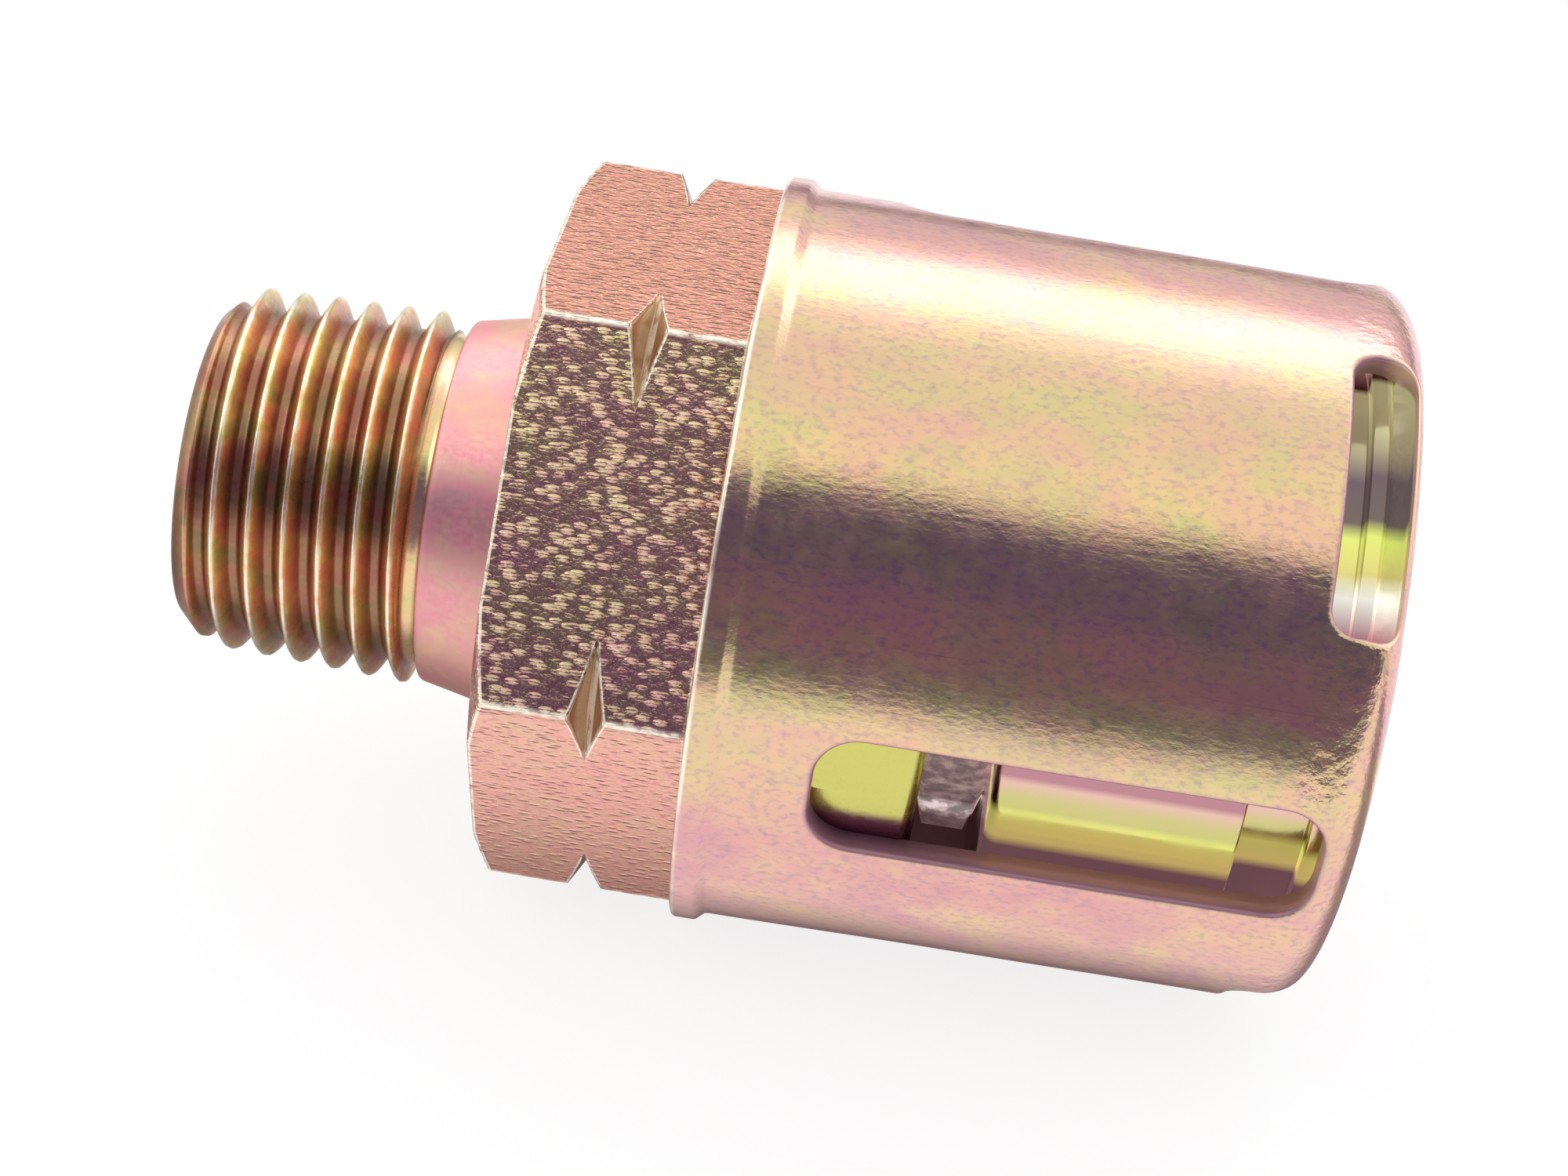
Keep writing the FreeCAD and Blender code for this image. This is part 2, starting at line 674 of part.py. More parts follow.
def spring_path(start, end, turns, coil_radius, closed_rise):
    """Centre line of a spring whose first and last coils are closed, as a smooth curve."""
    steps = int(turns * SPRING_STEPS)
    open_rise = (end - start - 2 * closed_rise) / (turns - 2)
    points = []
    for step in range(steps + 1):
        turned = step / SPRING_STEPS
        low = min(turned, 1.0)
        high = max(turned - (turns - 1), 0.0)
        middle = turned - low - high
        place = start + closed_rise * (low + high) + open_rise * middle
        angle = 2 * math.pi * turned
        points.append(FreeCAD.Vector(place, coil_radius * math.cos(angle), coil_radius * math.sin(angle)))
    curve = Part.BSplineCurve()
    curve.interpolate(points)
    return curve.toShape()


def make_spring():
    """Compression spring with closed, ground ends, between the piston's face and the guide cup."""
    start = size("piston_start + piston_face_thickness")
    end = size("guide_floor_start")
    wire_radius = size("spring_wire_radius")
    coil_radius = size("spring_coil_radius")
    closed_rise = size("spring_wire_radius * 2 + spring_closed_gap")
    path = spring_path(start, end, size("spring_turns"), coil_radius, closed_rise)
    section = Part.Circle(path.valueAt(path.FirstParameter), path.tangentAt(path.FirstParameter), wire_radius)
    coil = Part.Wire(path).makePipeShell([Part.Wire(section.toShape())], True, True)
    ground = Part.makeCylinder(coil_radius + 2 * wire_radius, end - start,
                               FreeCAD.Vector(start, 0, 0), FreeCAD.Vector(1, 0, 0))
    spring = doc.addObject("Part::Feature", "spring")
    spring.Label = "spring"
    spring.Shape = coil.common(ground)
    return spring


# ---- whole muffler -----------------------------------------------------------------------------

def check_document(sub_parts):
    """Stop on any failed object, and on any sub-part that isn't a valid closed solid."""
    for item in doc.Objects:
        if "Invalid" in item.State or "Error" in item.State:
            raise ValueError("%s failed: %s" % (item.Name, item.State))
    for item in sub_parts:
        shape = item.Shape
        if shape.isNull() or not shape.isValid() or not shape.Solids:
            raise ValueError("%s isn't a valid solid" % item.Label)


def export(sub_parts):
    """Write each sub-part to parts/NAME.step."""
    os.makedirs("parts", exist_ok=True)
    for item in sub_parts:
        item.Shape.exportStep("parts/%s.step" % item.Label)
        print("%-16s %8.2f mm3  %d solid" % (item.Label, item.Shape.Volume, len(item.Shape.Solids)))


sheet = fill_sheet()
muffler = [
    make_body(),
    make_shroud(),
    make_screen("inlet_screen", "chamber_start"),
    make_silencing_pack(),
    make_screen("outlet_screen", "pack_end"),
    make_seat_ring(),
    make_seat_seal(),
    make_retaining_ring(),
    make_piston(),
    make_poppet(),
    make_sealing_disc(),
    make_disc_washer(),
    make_lock_washer(),
    make_poppet_nut(),
    make_guide_cup(),
    make_guide_ring(),
    make_spring(),
]
doc.recompute()
check_document(muffler)
export(muffler)
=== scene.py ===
import math

import bmesh
import bpy
import numpy as np
from mathutils import Matrix, Vector, noise
from mathutils.geometry import delaunay_2d_cdt


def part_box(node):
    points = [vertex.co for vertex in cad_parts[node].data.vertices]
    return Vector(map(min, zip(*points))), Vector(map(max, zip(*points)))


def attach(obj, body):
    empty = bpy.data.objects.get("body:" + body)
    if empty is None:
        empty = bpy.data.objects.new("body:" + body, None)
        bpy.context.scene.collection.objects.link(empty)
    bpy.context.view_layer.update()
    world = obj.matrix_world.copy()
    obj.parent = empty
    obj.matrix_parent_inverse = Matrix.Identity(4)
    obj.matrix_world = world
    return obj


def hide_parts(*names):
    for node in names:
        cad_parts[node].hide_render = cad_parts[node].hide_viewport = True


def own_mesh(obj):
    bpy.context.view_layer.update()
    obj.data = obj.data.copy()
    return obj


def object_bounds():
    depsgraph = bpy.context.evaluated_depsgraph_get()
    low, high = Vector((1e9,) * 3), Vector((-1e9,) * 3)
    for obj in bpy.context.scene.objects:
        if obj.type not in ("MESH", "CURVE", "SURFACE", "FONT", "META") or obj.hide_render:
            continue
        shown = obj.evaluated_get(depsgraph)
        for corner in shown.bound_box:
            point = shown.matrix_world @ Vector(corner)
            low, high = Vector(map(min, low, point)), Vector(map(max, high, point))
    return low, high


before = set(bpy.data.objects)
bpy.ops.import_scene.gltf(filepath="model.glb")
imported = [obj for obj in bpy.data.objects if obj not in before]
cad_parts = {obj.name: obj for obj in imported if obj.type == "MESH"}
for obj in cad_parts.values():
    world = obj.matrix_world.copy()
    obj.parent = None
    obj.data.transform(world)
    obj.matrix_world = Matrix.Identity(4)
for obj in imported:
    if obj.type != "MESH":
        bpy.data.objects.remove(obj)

# Looks of a yellow-chromated pneumatic muffler.  X is its axis, from the thread to the closed end.
# Shapes are worked out in millimetres and written to meshes in metres.

MM = 0.001
CAD_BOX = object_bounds()


def box_mm(node):
    """Lowest and highest corners of a CAD node, in millimetres."""
    low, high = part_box(node)
    return low / MM, high / MM


BODY_HIGH = box_mm("body")[1]
SHROUD_LOW, SHROUD_HIGH = box_mm("shroud")
PISTON_LOW, PISTON_HIGH = box_mm("piston")
GUIDE_LOW, GUIDE_HIGH = box_mm("guide_cup")
POPPET_LOW, POPPET_HIGH = box_mm("poppet")
DISC_HIGH = box_mm("sealing_disc")[1]
SPRING_LOW, SPRING_HIGH = box_mm("spring")
PACK_LOW = box_mm("silencing_pack")[0]

# body
PITCH = 0.907
THREAD_RADIUS = 4.739
THREAD_TAPER = 1 / 32
THREAD_HALF_ANGLE = math.radians(27.5)
THREAD_DEPTH = 0.581
THREAD_CREST_AT = 0.714          # a crest's place on the +Y side
TIP_RADIUS = 4.05
TIP_CHAMFER = 0.7
RELIEF_START = 5.9
RELIEF_RADIUS = 4.33
NECK_START = 6.35
NECK_SMALL_RADIUS = 4.75
NECK_LARGE_RADIUS = 5.2
HEXAGON_START = 8.5
HALF_FLATS = 8.15
HEXAGON_CORNER = HALF_FLATS / math.cos(math.radians(30))
CORNER_BLEND = 0.07              # rounding of the hexagon's corners
BEVEL_FACE_RADIUS = 8.5          # where the corner bevel starts on the hexagon's inlet face
BEVEL_SLOPE = 1.0 / 0.4
NOTCH_CENTRE = 11.4
NOTCH_ROOT = 8.6
NOTCH_SLOPE = 0.9 / 0.5
REGISTER_START = SHROUD_LOW.x
REGISTER_END = BODY_HIGH.x
REGISTER_RADIUS = 8.8
BORE_RADIUS = 3.0
CHAMBER_START = PACK_LOW.x - 0.4
CHAMBER_RADIUS = 6.6
CLIP_START, CLIP_END, CLIP_GROOVE_RADIUS = 18.3, 18.9, 6.95

# shroud
WALL = 0.7
SHROUD_RADIUS = 9.5
SHROUD_END_RADIUS = 9.42
LIP_RADIUS = SHROUD_HIGH.z
LIP_END = 14.45
LIP_BLEND = 0.2
CORNER_ROUND = 1.3
SLOT = (16.9, 29.05, 1.62, 1.1)  # start, end, half width, corner radius
WINDOW = (28.1, 29.75, 3.65, 0.6)
WINDOW_FLOOR = 7.9               # height at which the punch left the closed end's inside face
SLOT_ANGLE = math.radians(186)   # first slot, from +Y towards +Z
WINDOW_ANGLE = SLOT_ANGLE + math.radians(60)
OPENINGS = 3
EDGE_ROLL = 0.16                 # the punch rolled in the openings' outer edges
FLOOR_AT = SHROUD_HIGH.x - WALL  # inside face of the closed end
TINT_RADIUS = 8.5                # how far out the windows' painted reflections and shade reach on that face
PUCKER = (28.4, 29.2)            # where drawing puckered the sheet

# piston, guide cup and poppet
PISTON_BORE, PISTON_FACE = 7.75, PISTON_LOW.x + 1.0
GUIDE_RADIUS, GUIDE_WALL, GUIDE_FLOOR, GUIDE_FLANGE_START = 7.7, 0.6, 28.5, 28.8
RING_START, RING_END, RING_FLOOR = 25.1, 26.3, 7.35
SHANK_RADIUS, HEAD_RADIUS, HEAD_STEM_RADIUS, HEAD_END = 2.5, 2.4, 1.6, 18.2
SPRING_WIRE = 0.35

# camera
CAMERA_AT = Vector((17.573, -70.705, 40.138)) * MM
CAMERA_AZIMUTH = math.radians(1.849)
CAMERA_ELEVATION = math.radians(30.177)
CAMERA_ROLL = math.radians(8.318)
CAMERA_LENS = 71.56


# ---- mesh helpers ------------------------------------------------------------------------------

def add_object(name, data):
    """A new object in the scene."""
    thing = bpy.data.objects.new(name, data)
    bpy.context.scene.collection.objects.link(thing)
    return thing


def new_object(name, vertices, faces):
    """A smooth-shaded mesh object from millimetre coordinates."""
    mesh = bpy.data.meshes.new(name)
    mesh.from_pydata((np.asarray(vertices) * MM).tolist(), [], [tuple(face) for face in faces])
    mesh.polygons.foreach_set("use_smooth", [True] * len(mesh.polygons))
    mesh.update()
    return add_object(name, mesh)


def about_axis(x, r, angle):
    """Coordinates of points at places along the axis, distances from it and angles about it."""
    x, r, angle = np.broadcast_arrays(x, r, angle)
    return np.stack([x, r * np.cos(angle), r * np.sin(angle)], -1)


def face_outwards(thing, weld=0.0):
    """Point every face of a closed mesh outwards, once vertices within weld metres are joined."""
    cells = bmesh.new()
    cells.from_mesh(thing.data)
    if weld:
        bmesh.ops.remove_doubles(cells, verts=cells.verts, dist=weld)
    bmesh.ops.recalc_face_normals(cells, faces=cells.faces)
    cells.to_mesh(thing.data)
    cells.free()
    thing.data.update()


def steady_shading(thing):
    """Let the large faces decide the shading normals, so that edge rounds don't bend the flats."""
    modifier = thing.modifiers.new("steady_shading", "WEIGHTED_NORMAL")
    modifier.keep_sharp = True
    modifier.weight = 80


def ring_faces(rings, around, closed, wrapped=True):
    """Quads between neighbouring rings of vertices; closed joins the last ring to the first, and
    wrapped joins each ring's last vertex to its first."""
    faces = []
    for ring in range(rings if closed else rings - 1):
        a = ring * around
        b = ((ring + 1) % rings) * around
        for step in range(around if wrapped else around - 1):
            following = (step + 1) % around
            faces.append((a + step, a + following, b + following, b + step))
    return faces


def rounded(corners, steps=4):
    """A closed (x, r) profile with rounded corners; each corner is (x, r, rounding)."""
    points = []
    count = len(corners)
    for index, (x, r, rounding) in enumerate(corners):
        here = Vector((x, r))
        if rounding == 0:
            points.append((x, r))
            continue
        to_last = (Vector(corners[index - 1][:2]) - here).normalized()
        to_next = (Vector(corners[(index + 1) % count][:2]) - here).normalized()
        half = to_last.angle(to_next) / 2
        reach = rounding / math.tan(half)
        centre = here + (to_last + to_next).normalized() * (rounding / math.sin(half))
        start = here + to_last * reach - centre
        finish = here + to_next * reach - centre
        for step in range(steps + 1):
            spoke = start.lerp(finish, step / steps).normalized() * rounding
            points.append(tuple(centre + spoke))
    return points


def turned(name, corners, around=192, shape=None):
    """A closed turned piece; shape may change the radius: shape(x, r, angle)."""
    profile = np.array(rounded(corners))
    angle = np.linspace(0, 2 * math.pi, around, endpoint=False)
    x = np.repeat(profile[:, 0], around)
    r = np.repeat(profile[:, 1], around)
    a = np.tile(angle, len(profile))
    if shape:
        r = shape(x, r, a)
    thing = new_object(name, about_axis(x, r, a), ring_faces(len(profile), around, True))
    face_outwards(thing)
    return thing


def smooth_min(a, b, blend):
    """The smaller of two values, with the crossing rounded over a blend width."""
    share = np.clip(0.5 + 0.5 * (b - a) / blend, 0, 1)
    return b * (1 - share) + a * share - blend * share * (1 - share)


def value_noise(points, scale, seed):
    """Smooth noise from -1 to 1 at each point, with features about 1/scale across."""
    offset = Vector((seed * 17.3, seed * 5.1, seed * 9.7))
    return np.array([noise.noise(Vector(point) * scale + offset) for point in points])


# ---- body --------------------------------------------------------------------------------------

def hexagon_angles(coarse=0.9, fine=0.16, fine_reach=0.96):
    """Angles about the axis, close together at the hexagon's corners."""
    near_corner = np.arange(-fine_reach, fine_reach + 1e-9, fine)
    count = round((60 - 2 * fine_reach) / coarse)
    flat = np.linspace(fine_reach, 60 - fine_reach, count + 1)[1:-1]
    sector = np.concatenate([near_corner, flat])
    return np.radians(np.concatenate([sector + 60 * corner for corner in range(6)]))


def hexagon_radius(angle, half_flats, blend):
    """Radius of a hexagon with slightly rounded corners, two of them on the Y axis."""
    local = np.mod(angle, math.pi / 3) - math.pi / 6
    this_flat = half_flats / np.cos(local)
    next_flat = half_flats / np.cos(math.pi / 3 - np.abs(local))
    return smooth_min(this_flat, next_flat, blend)


def thread_radius(x, angle):
    """Taper thread with worn-round crests and a lead-in chamfer; the crest climbs a pitch a turn."""
    crest_at = THREAD_CREST_AT + PITCH * angle / (2 * math.pi)
    offset = np.abs(np.mod((x - crest_at) / PITCH + 0.5, 1) - 0.5) * PITCH
    slope = 1 / math.tan(THREAD_HALF_ANGLE)
    crest = THREAD_RADIUS + x * THREAD_TAPER
    flank = crest + 0.06 - np.hypot(offset, 0.045) * slope
    root = crest - THREAD_DEPTH
    cut = -smooth_min(-smooth_min(flank, crest, 0.05), -root, 0.10)
    chamfer = TIP_RADIUS + x * (THREAD_RADIUS - TIP_RADIUS) / TIP_CHAMFER
    return smooth_min(cut, chamfer, 0.08)


def forged_wave(x, angle, radius):
    """Gentle unevenness of the hexagon's flats, below the nominal surface."""
    points = about_axis(x * 0.62, radius, angle)
    broad = 0.5 + 0.5 * value_noise(points, 1.6, 1)
    fine = 0.5 + 0.5 * value_noise(points, 3.3, 2)
    return -0.012 * broad - 0.008 * fine


def hexagon_outside(x, angle):
    """Radius of the hexagon with its corner bevel, V notch and rough flats."""
    outline = hexagon_radius(angle, HALF_FLATS, CORNER_BLEND)
    local = np.abs(np.mod(angle, math.pi / 3) - math.pi / 6)
    edge_distance = np.minimum((math.pi / 6 - local) * HEXAGON_CORNER,
                               np.minimum(x - HEXAGON_START, REGISTER_START - x))
    notch = NOTCH_ROOT + np.abs(x - NOTCH_CENTRE) * NOTCH_SLOPE
    bevel = BEVEL_FACE_RADIUS + (x - HEXAGON_START) * BEVEL_SLOPE
    on_flat = np.clip((edge_distance - 0.05) / 0.2, 0, 1) * np.clip((notch - outline) / 0.15, 0, 1)
    rough = outline + forged_wave(x, angle, outline) * on_flat
    return smooth_min(smooth_min(rough, bevel, 0.05), notch, 0.03)


def hexagon_rings(angle):
    """Rings along the hexagon; the ones near the V notch follow its curved edges."""
    outline = hexagon_radius(angle, HALF_FLATS, CORNER_BLEND)
    open_by = (outline - NOTCH_ROOT) / NOTCH_SLOPE
    half_notch = -smooth_min(-open_by, np.full_like(angle, -0.12), 0.05)
    rounding = 0.06
    turns = np.radians([0, 30, 60, 90])
    places = [HEXAGON_START + rounding * (1 - np.cos(turn)) + 0 * angle for turn in turns]
    start, end = HEXAGON_START + rounding, NOTCH_CENTRE - half_notch
    places += [start + share * (end - start) for share in np.linspace(0, 1, 27)[1:]]
    places += [NOTCH_CENTRE + share * half_notch for share in (-0.8, -0.45, -0.12, 0.12, 0.45, 0.8)]
    start, end = NOTCH_CENTRE + half_notch, REGISTER_START - rounding
    places += [start + share * (end - start) for share in np.linspace(0, 1, 23)[:-1]]
    places += [REGISTER_START - rounding * (1 - np.cos(turn)) + 0 * angle for turn in turns[::-1]]
    rings = []
    for x in places:
        from_end = np.minimum(np.minimum(x - HEXAGON_START, REGISTER_START - x), rounding)
        drawn_in = rounding - np.sqrt(np.maximum(rounding ** 2 - (rounding - from_end) ** 2, 0))
        rings.append((x, hexagon_outside(x, angle) - drawn_in))
    return rings


def neck_profile():
    """The relief behind the thread, the conical neck and the hexagon's inlet face, as (x, radius)."""
    start, small, large = NECK_START, NECK_SMALL_RADIUS, NECK_LARGE_RADIUS
    profile = [(RELIEF_START, RELIEF_RADIUS + 0.1), (RELIEF_START + 0.08, RELIEF_RADIUS),
               (start - 0.06, RELIEF_RADIUS), (start, RELIEF_RADIUS + 0.06), (start, small - 0.08),
               (start + 0.025, small - 0.02), (start + 0.09, small + 0.02)]
    for share in np.linspace(0.12, 0.94, 7):
        profile.append((start + share * (HEXAGON_START - start), small + share * (large - small)))
    return profile + [(HEXAGON_START - 0.03, large + 0.03), (HEXAGON_START, large + 0.12),
                      (HEXAGON_START, 6.2), (HEXAGON_START, 7.4), (HEXAGON_START, 8.1)]


def inside_profile():
    """The register, the outlet face, the chamber with its ring groove, and the bore, as (x, radius)."""
    end, register, chamber = REGISTER_END, REGISTER_RADIUS, CHAMBER_RADIUS
    return [(REGISTER_START, register), (end - 0.3, register), (end - 0.22, register - 0.04),
            (end - 0.04, register - 0.22), (end, register - 0.3), (end, chamber + 0.15),
            (end - 0.15, chamber), (CLIP_END, chamber), (CLIP_END, CLIP_GROOVE_RADIUS),
            (CLIP_START, CLIP_GROOVE_RADIUS), (CLIP_START, chamber), (CHAMBER_START, chamber),
            (CHAMBER_START, BORE_RADIUS + 0.1), (CHAMBER_START - 0.1, BORE_RADIUS), (5.0, BORE_RADIUS),
            (0.15, BORE_RADIUS), (0.0, BORE_RADIUS + 0.15)]


def make_body():
    angle = hexagon_angles()
    thread = [(x, thread_radius(x, angle)) for x in np.arange(0.0, RELIEF_START, 0.055)]
    rings = thread + neck_profile() + hexagon_rings(angle) + inside_profile()
    vertices = np.concatenate([about_axis(x, r, angle) for x, r in rings])
    body = new_object("body_turned", vertices, ring_faces(len(rings), len(angle), True))
    face_outwards(body)
    return body


# ---- shroud ------------------------------------------------------------------------------------

class ShroudWall:
    """The drawn cup's wall: u runs along its outside from the lip to the centre of the closed end,
    v is distance around it at ROUND_RADIUS, and depth is 0 outside and 1 inside."""

    ROUND_RADIUS = 9.46

    def __init__(self):
        end = SHROUD_HIGH.x
        self.centre = (end - CORNER_ROUND, SHROUD_END_RADIUS - CORNER_ROUND)
        step_end = LIP_END + LIP_BLEND
        outside = [(SHROUD_LOW.x + 0.12, LIP_RADIUS), (LIP_END - 0.08, LIP_RADIUS),
                   (LIP_END, LIP_RADIUS - 0.02), (step_end, SHROUD_RADIUS + 0.02),
                   (step_end + 0.1, SHROUD_RADIUS)]
        inside = [(x, REGISTER_RADIUS) for x, r in outside]
        for turn in np.radians(np.linspace(0, 90, 25)):
            spoke = (math.sin(turn), math.cos(turn))
            outside.append(tuple(c + s * CORNER_ROUND for c, s in zip(self.centre, spoke)))
            inside.append(tuple(c + s * (CORNER_ROUND - WALL) for c, s in zip(self.centre, spoke)))
        outside.append((end, 0.0))
        inside.append((end - WALL, 0.0))
        self.outside = np.array(outside)
        self.inside = np.array(inside)
        steps = np.hypot(*np.diff(self.outside, axis=0).T)
        self.u = np.concatenate([[0], np.cumsum(steps)])
        self.corner_u = self.u[5], self.u[-2]

    def section(self, u, depth):
        """(x, r) of points of the wall."""
        outer, inner = [[np.interp(u, self.u, side[:, axis]) for axis in (0, 1)]
                        for side in (self.outside, self.inside)]
        return [a + (b - a) * depth for a, b in zip(outer, inner)]

    def u_at(self, x, depth):
        """u of a point at a place along the axis, short of the closed end's flat."""
        side = (self.outside, self.inside)[depth]
        return np.interp(x, side[:-1, 0], self.u[:-1])

    def u_on_floor(self, r):
        """u of an inside point of the closed end at a radius."""
        return np.interp(-r, -self.inside[-2:, 1], self.u[-2:])

    def place(self, u, v, depth):
        """Coordinates of wall points, with the faint waves that drawing leaves."""
        x, r = self.section(u, depth)
        angle = v / self.ROUND_RADIUS
        wave = 0.010 * np.sin(3 * angle + 0.35 * x) + 0.006 * np.sin(7 * angle - 0.8 * x + 1.0)
        r = r - (0.016 + wave) * np.clip(r / 3, 0, 1)
        return about_axis(x, r, angle)


class Opening:
    """A punched rectangle with rounded corners, described on the tangent plane at its centre."""

    def __init__(self, wall, sizes, angle):
        self.wall = wall
        self.start, self.end, self.half_width, self.corner = sizes
        self.angle = angle
        self.floor_x = wall.inside[-1, 0]

    def outline(self, grow):
        """x and y around the opening, grown outwards by a distance."""
        half = (self.end - self.start) / 2 - self.corner, self.half_width - self.corner
        middle = (self.start + self.end) / 2
        loop = []
        signs = ((1, -1), (1, 1), (-1, 1), (-1, -1))
        for number, (across, up) in enumerate(signs):
            here = np.array([across * half[0], up * half[1]])
            for turn in np.radians(np.linspace(90 * number - 90, 90 * number, 10)):
                loop.append(here + (self.corner + grow) * np.array([math.cos(turn), math.sin(turn)]))
            following = signs[(number + 1) % 4]
            there = np.array([following[0] * half[0], following[1] * half[1]])
            side = there - here
            steps = max(2, round(float(np.abs(side).sum()) / 0.36))
            loop += [loop[-1] + side * step / steps for step in range(1, steps)]
        loop = np.array(loop)
        return loop[:, 0] + middle, loop[:, 1]

    def flat_loop(self, grow, depth):
        """The outline as (u, v) on the outside or the inside of the wall."""
        x, y = self.outline(grow)
        u = self.wall.u_at(x, depth)
        if depth == 1:
            on_floor = self.wall.u_on_floor(np.hypot(WINDOW_FLOOR, y))
            u = np.where(x > self.floor_x, np.maximum(on_floor, u), u)
        r = self.wall.section(u, depth)[1]
        return np.stack([u, self.wall.ROUND_RADIUS * (self.angle + np.arcsin(y / r))], 1)

    def on_wall(self, grow, depth):
        """Coordinates of the outline on the outside or the inside of the wall."""
        flat = self.flat_loop(grow, depth)
        return self.wall.place(flat[:, 0], flat[:, 1], depth)

    def punched_to(self, grow):
        """Where the punch stops: on the inside, or short of it in the closed end's thickness."""
        x, y = self.outline(grow)
        reached = self.on_wall(grow, 1)
        reached[:, 0] = np.where(x > self.floor_x, x, reached[:, 0])
        return reached

    def covers(self, points, grow, depth):
        """Which (u, v) points lie inside the grown outline."""
        loop = self.flat_loop(grow, depth)
        following = np.roll(loop, -1, 0)
        u, v = points[:, :1], points[:, 1:]
        spans = (loop[None, :, 1] > v) != (following[None, :, 1] > v)
        rise = np.where(following[:, 1] == loop[:, 1], 1, following[:, 1] - loop[:, 1])
        crossing = loop[:, 0] + (v - loop[:, 1]) * (following[:, 0] - loop[:, 0]) / rise
        return np.sum(spans & (u < crossing), axis=1) % 2 == 1


def cut_surface(wall, openings, depth, edge_round, u_steps, v_steps):
    """Triangles of one side of the wall over a third of a turn, around its openings."""
    grid = np.array([(u, v) for u in u_steps for v in v_steps])
    keep = np.ones(len(grid), bool)
    for opening in openings:
        keep &= ~opening.covers(grid, edge_round + 0.17, depth)
    points = [tuple(point) for point in grid[keep]]
    edges = []
    for opening in openings:
        for grow in (edge_round, edge_round + 0.1):
            first = len(points)
            loop = opening.flat_loop(grow, depth)
            points += [tuple(point) for point in loop]
            edges += [(first + i, first + (i + 1) % len(loop)) for i in range(len(loop))]
    flat, _, triangles, *_ = delaunay_2d_cdt([Vector(point) for point in points], edges, [], 0, 1e-6)
    flat = np.array([tuple(point) for point in flat])
    triangles = np.array([tuple(face) for face in triangles])
    centres = flat[triangles].mean(1)
    inside = np.zeros(len(triangles), bool)
    for opening in openings:
        inside |= opening.covers(centres, edge_round, depth)
    return wall.place(flat[:, 0], flat[:, 1], depth), triangles[~inside]


def opening_wall(opening, edge_round):
    """The cut wall of an opening, with its outer edge rolled in by the punch, and its cut mark, which also
    places painted shade on the cut wall and the inner part of the rolled edge.
    """
    loops = []
    for turn in np.radians(np.linspace(0, 90, 6)):
        grow = edge_round * (1 - math.sin(turn))
        outer = opening.on_wall(grow, 0)
        inward = opening.punched_to(grow) - outer
        inward /= np.linalg.norm(inward, axis=1)[:, None]
        loops.append(outer + inward * edge_round * (1 - math.cos(turn)))
    loops += [opening.punched_to(0), opening.on_wall(0, 1)]
    marks = np.repeat([0.0, 0.2, 0.6] + [1.0] * (len(loops) - 3), len(loops[0]))
    return np.concatenate(loops), ring_faces(len(loops), len(loops[0]), False), marks


def lip_edge(wall, v_steps):
    """The rounded edge of the lip, from the outside of the wall to the inside."""
    low = SHROUD_LOW.x
    section = [(low + 0.035, LIP_RADIUS - 0.045), (low, LIP_RADIUS - 0.13),
               (low, REGISTER_RADIUS + 0.08), (low + 0.03, REGISTER_RADIUS + 0.01)]
    angle = v_steps / wall.ROUND_RADIUS
    rings = [wall.place(np.zeros_like(v_steps), v_steps, 0.0)]
    rings += [about_axis(x, r, angle) for x, r in section]
    rings.append(wall.place(np.zeros_like(v_steps), v_steps, 1.0))
    return np.concatenate(rings), ring_faces(len(rings), len(v_steps), False, wrapped=False)


def end_centre(wall, u, v_steps, depth):
    """Fan that closes the middle of the closed end."""
    rim = wall.place(np.full_like(v_steps, u), v_steps, depth)
    middle = np.array([[wall.outside[-1, 0] - WALL * depth, 0, 0]])
    faces = [(0, step + 1, step + 2) for step in range(len(v_steps) - 1)]
    return np.concatenate([middle, rim]), faces


def third_of_shroud(wall):
    """Vertices, faces and cut mark of the parts of a third of the shroud, with one slot and one window."""
    openings = Opening(wall, SLOT, SLOT_ANGLE), Opening(wall, WINDOW, WINDOW_ANGLE)
    start = (SLOT_ANGLE - math.radians(25)) * wall.ROUND_RADIUS
    v_steps = start + np.linspace(0, math.radians(120), 73) * wall.ROUND_RADIUS
    corner_start, corner_end = wall.corner_u
    u_steps = np.concatenate([[0, 0.2, 0.4], wall.u[1:5], np.linspace(wall.u[4], corner_start, 46)[1:],
                              np.linspace(corner_start, corner_end, 17)[1:],
                              corner_end + np.array([0.08, 0.5, 1.2, 2.2, 3.4, 4.8, 6.2, 7.3])])
    parts = [(*lip_edge(wall, v_steps), 0.0)]
    for depth, edge_round in ((0, EDGE_ROLL), (1, 0)):
        # The mark is the depth, so the whole inside surface gets the painted shade of the cut mark.
        parts.append((*cut_surface(wall, openings, depth, edge_round, u_steps, v_steps), depth))
        parts.append((*end_centre(wall, u_steps[-1], v_steps, depth), depth))
    return parts + [opening_wall(opening, EDGE_ROLL) for opening in openings]


def make_shroud():
    wall = ShroudWall()
    vertices, faces, marks = [], [], []
    count = 0
    for turn in range(OPENINGS):
        spin = np.array(Matrix.Rotation(turn * 2 * math.pi / OPENINGS, 3, "X"))
        for part_vertices, part_faces, mark in third_of_shroud(wall):
            vertices.append(part_vertices @ spin.T)
            faces += [tuple(corner + count for corner in face) for face in part_faces]
            marks.append(np.broadcast_to(mark, len(part_vertices)))
            count += len(part_vertices)
    shroud = new_object("shroud_drawn", np.concatenate(vertices), faces)
    shroud.data.attributes.new("cut", "FLOAT", "POINT").data.foreach_set("value", np.concatenate(marks))
    face_outwards(shroud, weld=2e-6)
    return shroud


# ---- inside pieces seen through the openings ---------------------------------------------------

